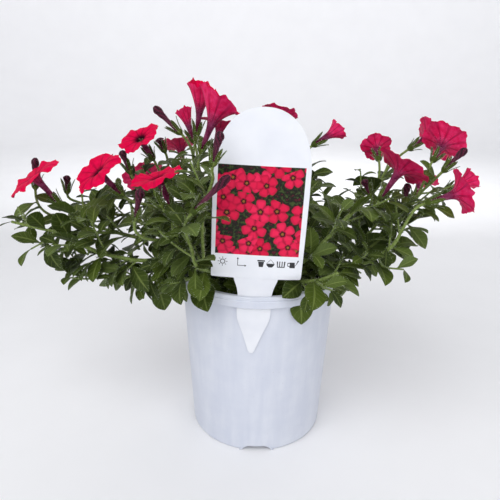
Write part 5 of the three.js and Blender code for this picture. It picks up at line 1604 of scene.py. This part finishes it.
def hidesLabel(points):  # keeps the side shoots off the front of the label
    x, y, z = points[:, 0], points[:, 1], points[:, 2]
    middle = label["tipX"] + (z - label["tipLevel"]) * label["lean"]
    inFront = (y < label["panelY"] + 6) & (np.abs(x - middle) < labelForm["arch"] + fillForm["labelMargin"])
    inFront &= z > fillForm["labelFrom"]
    return bool(inFront.any())


def freePath(owner, path, ease):
    points = np.array([pointAt(path, share) for share in (0.45, 0.7, 1.0)])
    if not clearOfPot(points) or hidesLabel(points) or outsidePlant(points):
        return False
    count = taken["count"]
    other = taken["owner"][:count] != owners[owner]
    gaps = np.linalg.norm(points[:, None] - taken["points"][:count][other][None], axis=2)
    return bool((gaps > taken["reach"][:count][other] * ease).all())


def fillShoots(stem, axes, random):
    form, shoots = fillForm, []
    for axis in [axis for axis in axes if axis["leaves"]]:
        path = axis["path"]
        number = int(path["length"] * (1 - form["first"]) / form["spacing"])
        for i in range(number):
            share = between(form["first"], 0.97, (i + random()) / number)
            for attempt in range(form["tries"]):
                tangent = directionAt(path, share)
                u, v = acrossFrame(tangent)
                azimuth = i * goldenAngle + attempt * 1.3 + random()
                way = unit(tangent * math.cos(form["lean"]) + turnedTo(u, v, azimuth) * math.sin(form["lean"])
                           + up * form["rise"] * random())
                length = between(*form["length"], random())
                start = pointAt(path, share)
                shoot = smoothPath([start, start + way * length * 0.5,
                                    start + way * length + up * form["rise"] * length * 0.3])
                if not freePath(stem["name"], shoot, form["ease"]):
                    continue
                rule = [0.25, 1.0, form["leaves"], between(*form["leafLength"], random())]
                leaves = growLeaves(stem["name"], shoot, rule, random, form["ease"])
                leaves = [leaf for leaf in leaves if not hidesLabel(leafSamples(leaf))
                          and not outsidePlant(leafSamples(leaf))]
                if leaves:
                    take([pointAt(shoot, s) for s in (0.5, 1)], clear["stalk"], stem["name"])
                    shoots.append(twigAxis(shoot, form["radius"], leaves))
                    break
    return shoots


total = 0
for stem, axes in layout:
    for aimed in aimedLeaves.get(stem["name"], []):
        twig, leaf = aimLeaf(stem, axes, aimed[:3], aimed[3:])
        path = twig or makePath([leaf["root"], leaf["root"] + leaf["along"] * 0.5])
        axes.append(twigAxis(path, fillForm["twig"], [leaf]))
for i, (stem, axes) in enumerate(layout):
    random = makeRandom(fillForm["seed"] + 31 * i)
    axes.extend(fillShoots(stem, axes, random))
for stem, axes in layout:
    parts = []
    for axis in axes:
        parts += stemTube(axis)
        if axis["flower"]:
            parts += calyxParts(flowers[axis["flower"]])
        for leaf in axis.get("grown", []):
            leaf["tint"] = rng.random()
            parts.append(leafBlade(leaf))
            parts.append(leafHairs(leaf))
            total += 1
    piece = makeObject(camelName(stem["name"]), parts, [leafMaterial, stemMaterial, hairMaterial], 50)
    finishPiece(piece, stem["name"])
print("stems made, with", total, "leaves")

for name, flower in flowers.items():
    if "spent" in flower:
        continue
    if "bud" in flower:
        parts, materials = budParts(flower, name == "bud_crinkled"), [budMaterial, petalHairMaterial]
        finishPiece(makeObject(camelName(name), parts, materials, 50), name)
    else:
        materials = [backMaterial, faceMaterial, petalHairMaterial, antherMaterial]
        finishPiece(makeObject(camelName(name), bloomParts(flower), materials, 60), name)
print("blooms and buds made")


# Stage: a pale floor that curves up into a round backdrop, and soft light from above
stageForm = {"level": -0.05, "floor": 1400, "round": 500, "wall": 700, "sides": 96, "steps": 12, "mottle": 60}


def makeStage(form):
    outline = [[1.0, form["level"]], [form["floor"], form["level"]]]
    outline += [[form["floor"] + form["round"] * math.sin(a), form["round"] * (1 - math.cos(a)) + form["level"]]
                for a in np.linspace(0, math.pi / 2, form["steps"])[1:]]
    outline += [[form["floor"] + form["round"], form["round"] + form["wall"]]]
    outline = np.array(outline)
    part = plainLoft(flatRings(outline[:, :1], outline[:, 1:], fullTurn(form["sides"])))
    part["quads"], part["tris"] = part["quads"][:, ::-1], part["tris"][:form["sides"], ::-1]
    part["triKinds"] = part["triKinds"][:form["sides"]]
    material, tree, shader = startMaterial("studioPaper", {"Roughness": 0.9})
    noise = addNode(tree, "TexNoise", {"Vector": surfaceSpace(tree), "Scale": repeats(form["mottle"])})
    tree.links.new(mixColours(tree, noise, "#f0f0f2", "#f5f5f7"), shader.inputs["Base Color"])
    floor = makeObject("studioFloor", [part], [material])


def addLamp(name, place, target, size, power, colour="#ffffff"):
    data = bpy.data.lights.new(name, "AREA")
    data.shape, data.size, data.energy = "DISK", size, power
    data.color = linearColour(colour)[:3]
    lamp = bpy.data.objects.new(name, data)
    way = (np.array(target) - np.array(place)) * mm
    lamp.rotation_euler = Vector(way).to_track_quat("-Z", "Y").to_euler()
    lamp.location = [value * mm for value in place]
    bpy.context.scene.collection.objects.link(lamp)


makeStage(stageForm)
addLamp("skyLamp", (-330, -620, 900), (0, 0, 130), 1.0, 7)
addLamp("fillLamp", (620, -900, 420), (0, 0, 140), 0.9, 2.2)
addLamp("rearLamp", (300, 800, 800), (0, 0, 140), 0.8, 2.5)
addLamp("backdropLamp", (0, 500, 900), (0, 1900, 800), 1.4, 9)
world = bpy.data.worlds.new("studio")
world.use_nodes = True
for socket, value in (("Color", linearColour("#f5f7fb")), ("Strength", 0.45)):
    world.node_tree.nodes["Background"].inputs[socket].default_value = value
bpy.context.scene.world = world
bpy.context.scene.view_settings.view_transform = "Standard"
print("stage and lights made")

meshes = [thing.data for thing in bpy.data.objects if thing.type == "MESH"]
triangles = sum(len(face.vertices) - 2 for mesh in meshes for face in mesh.polygons)
print("triangles", triangles)
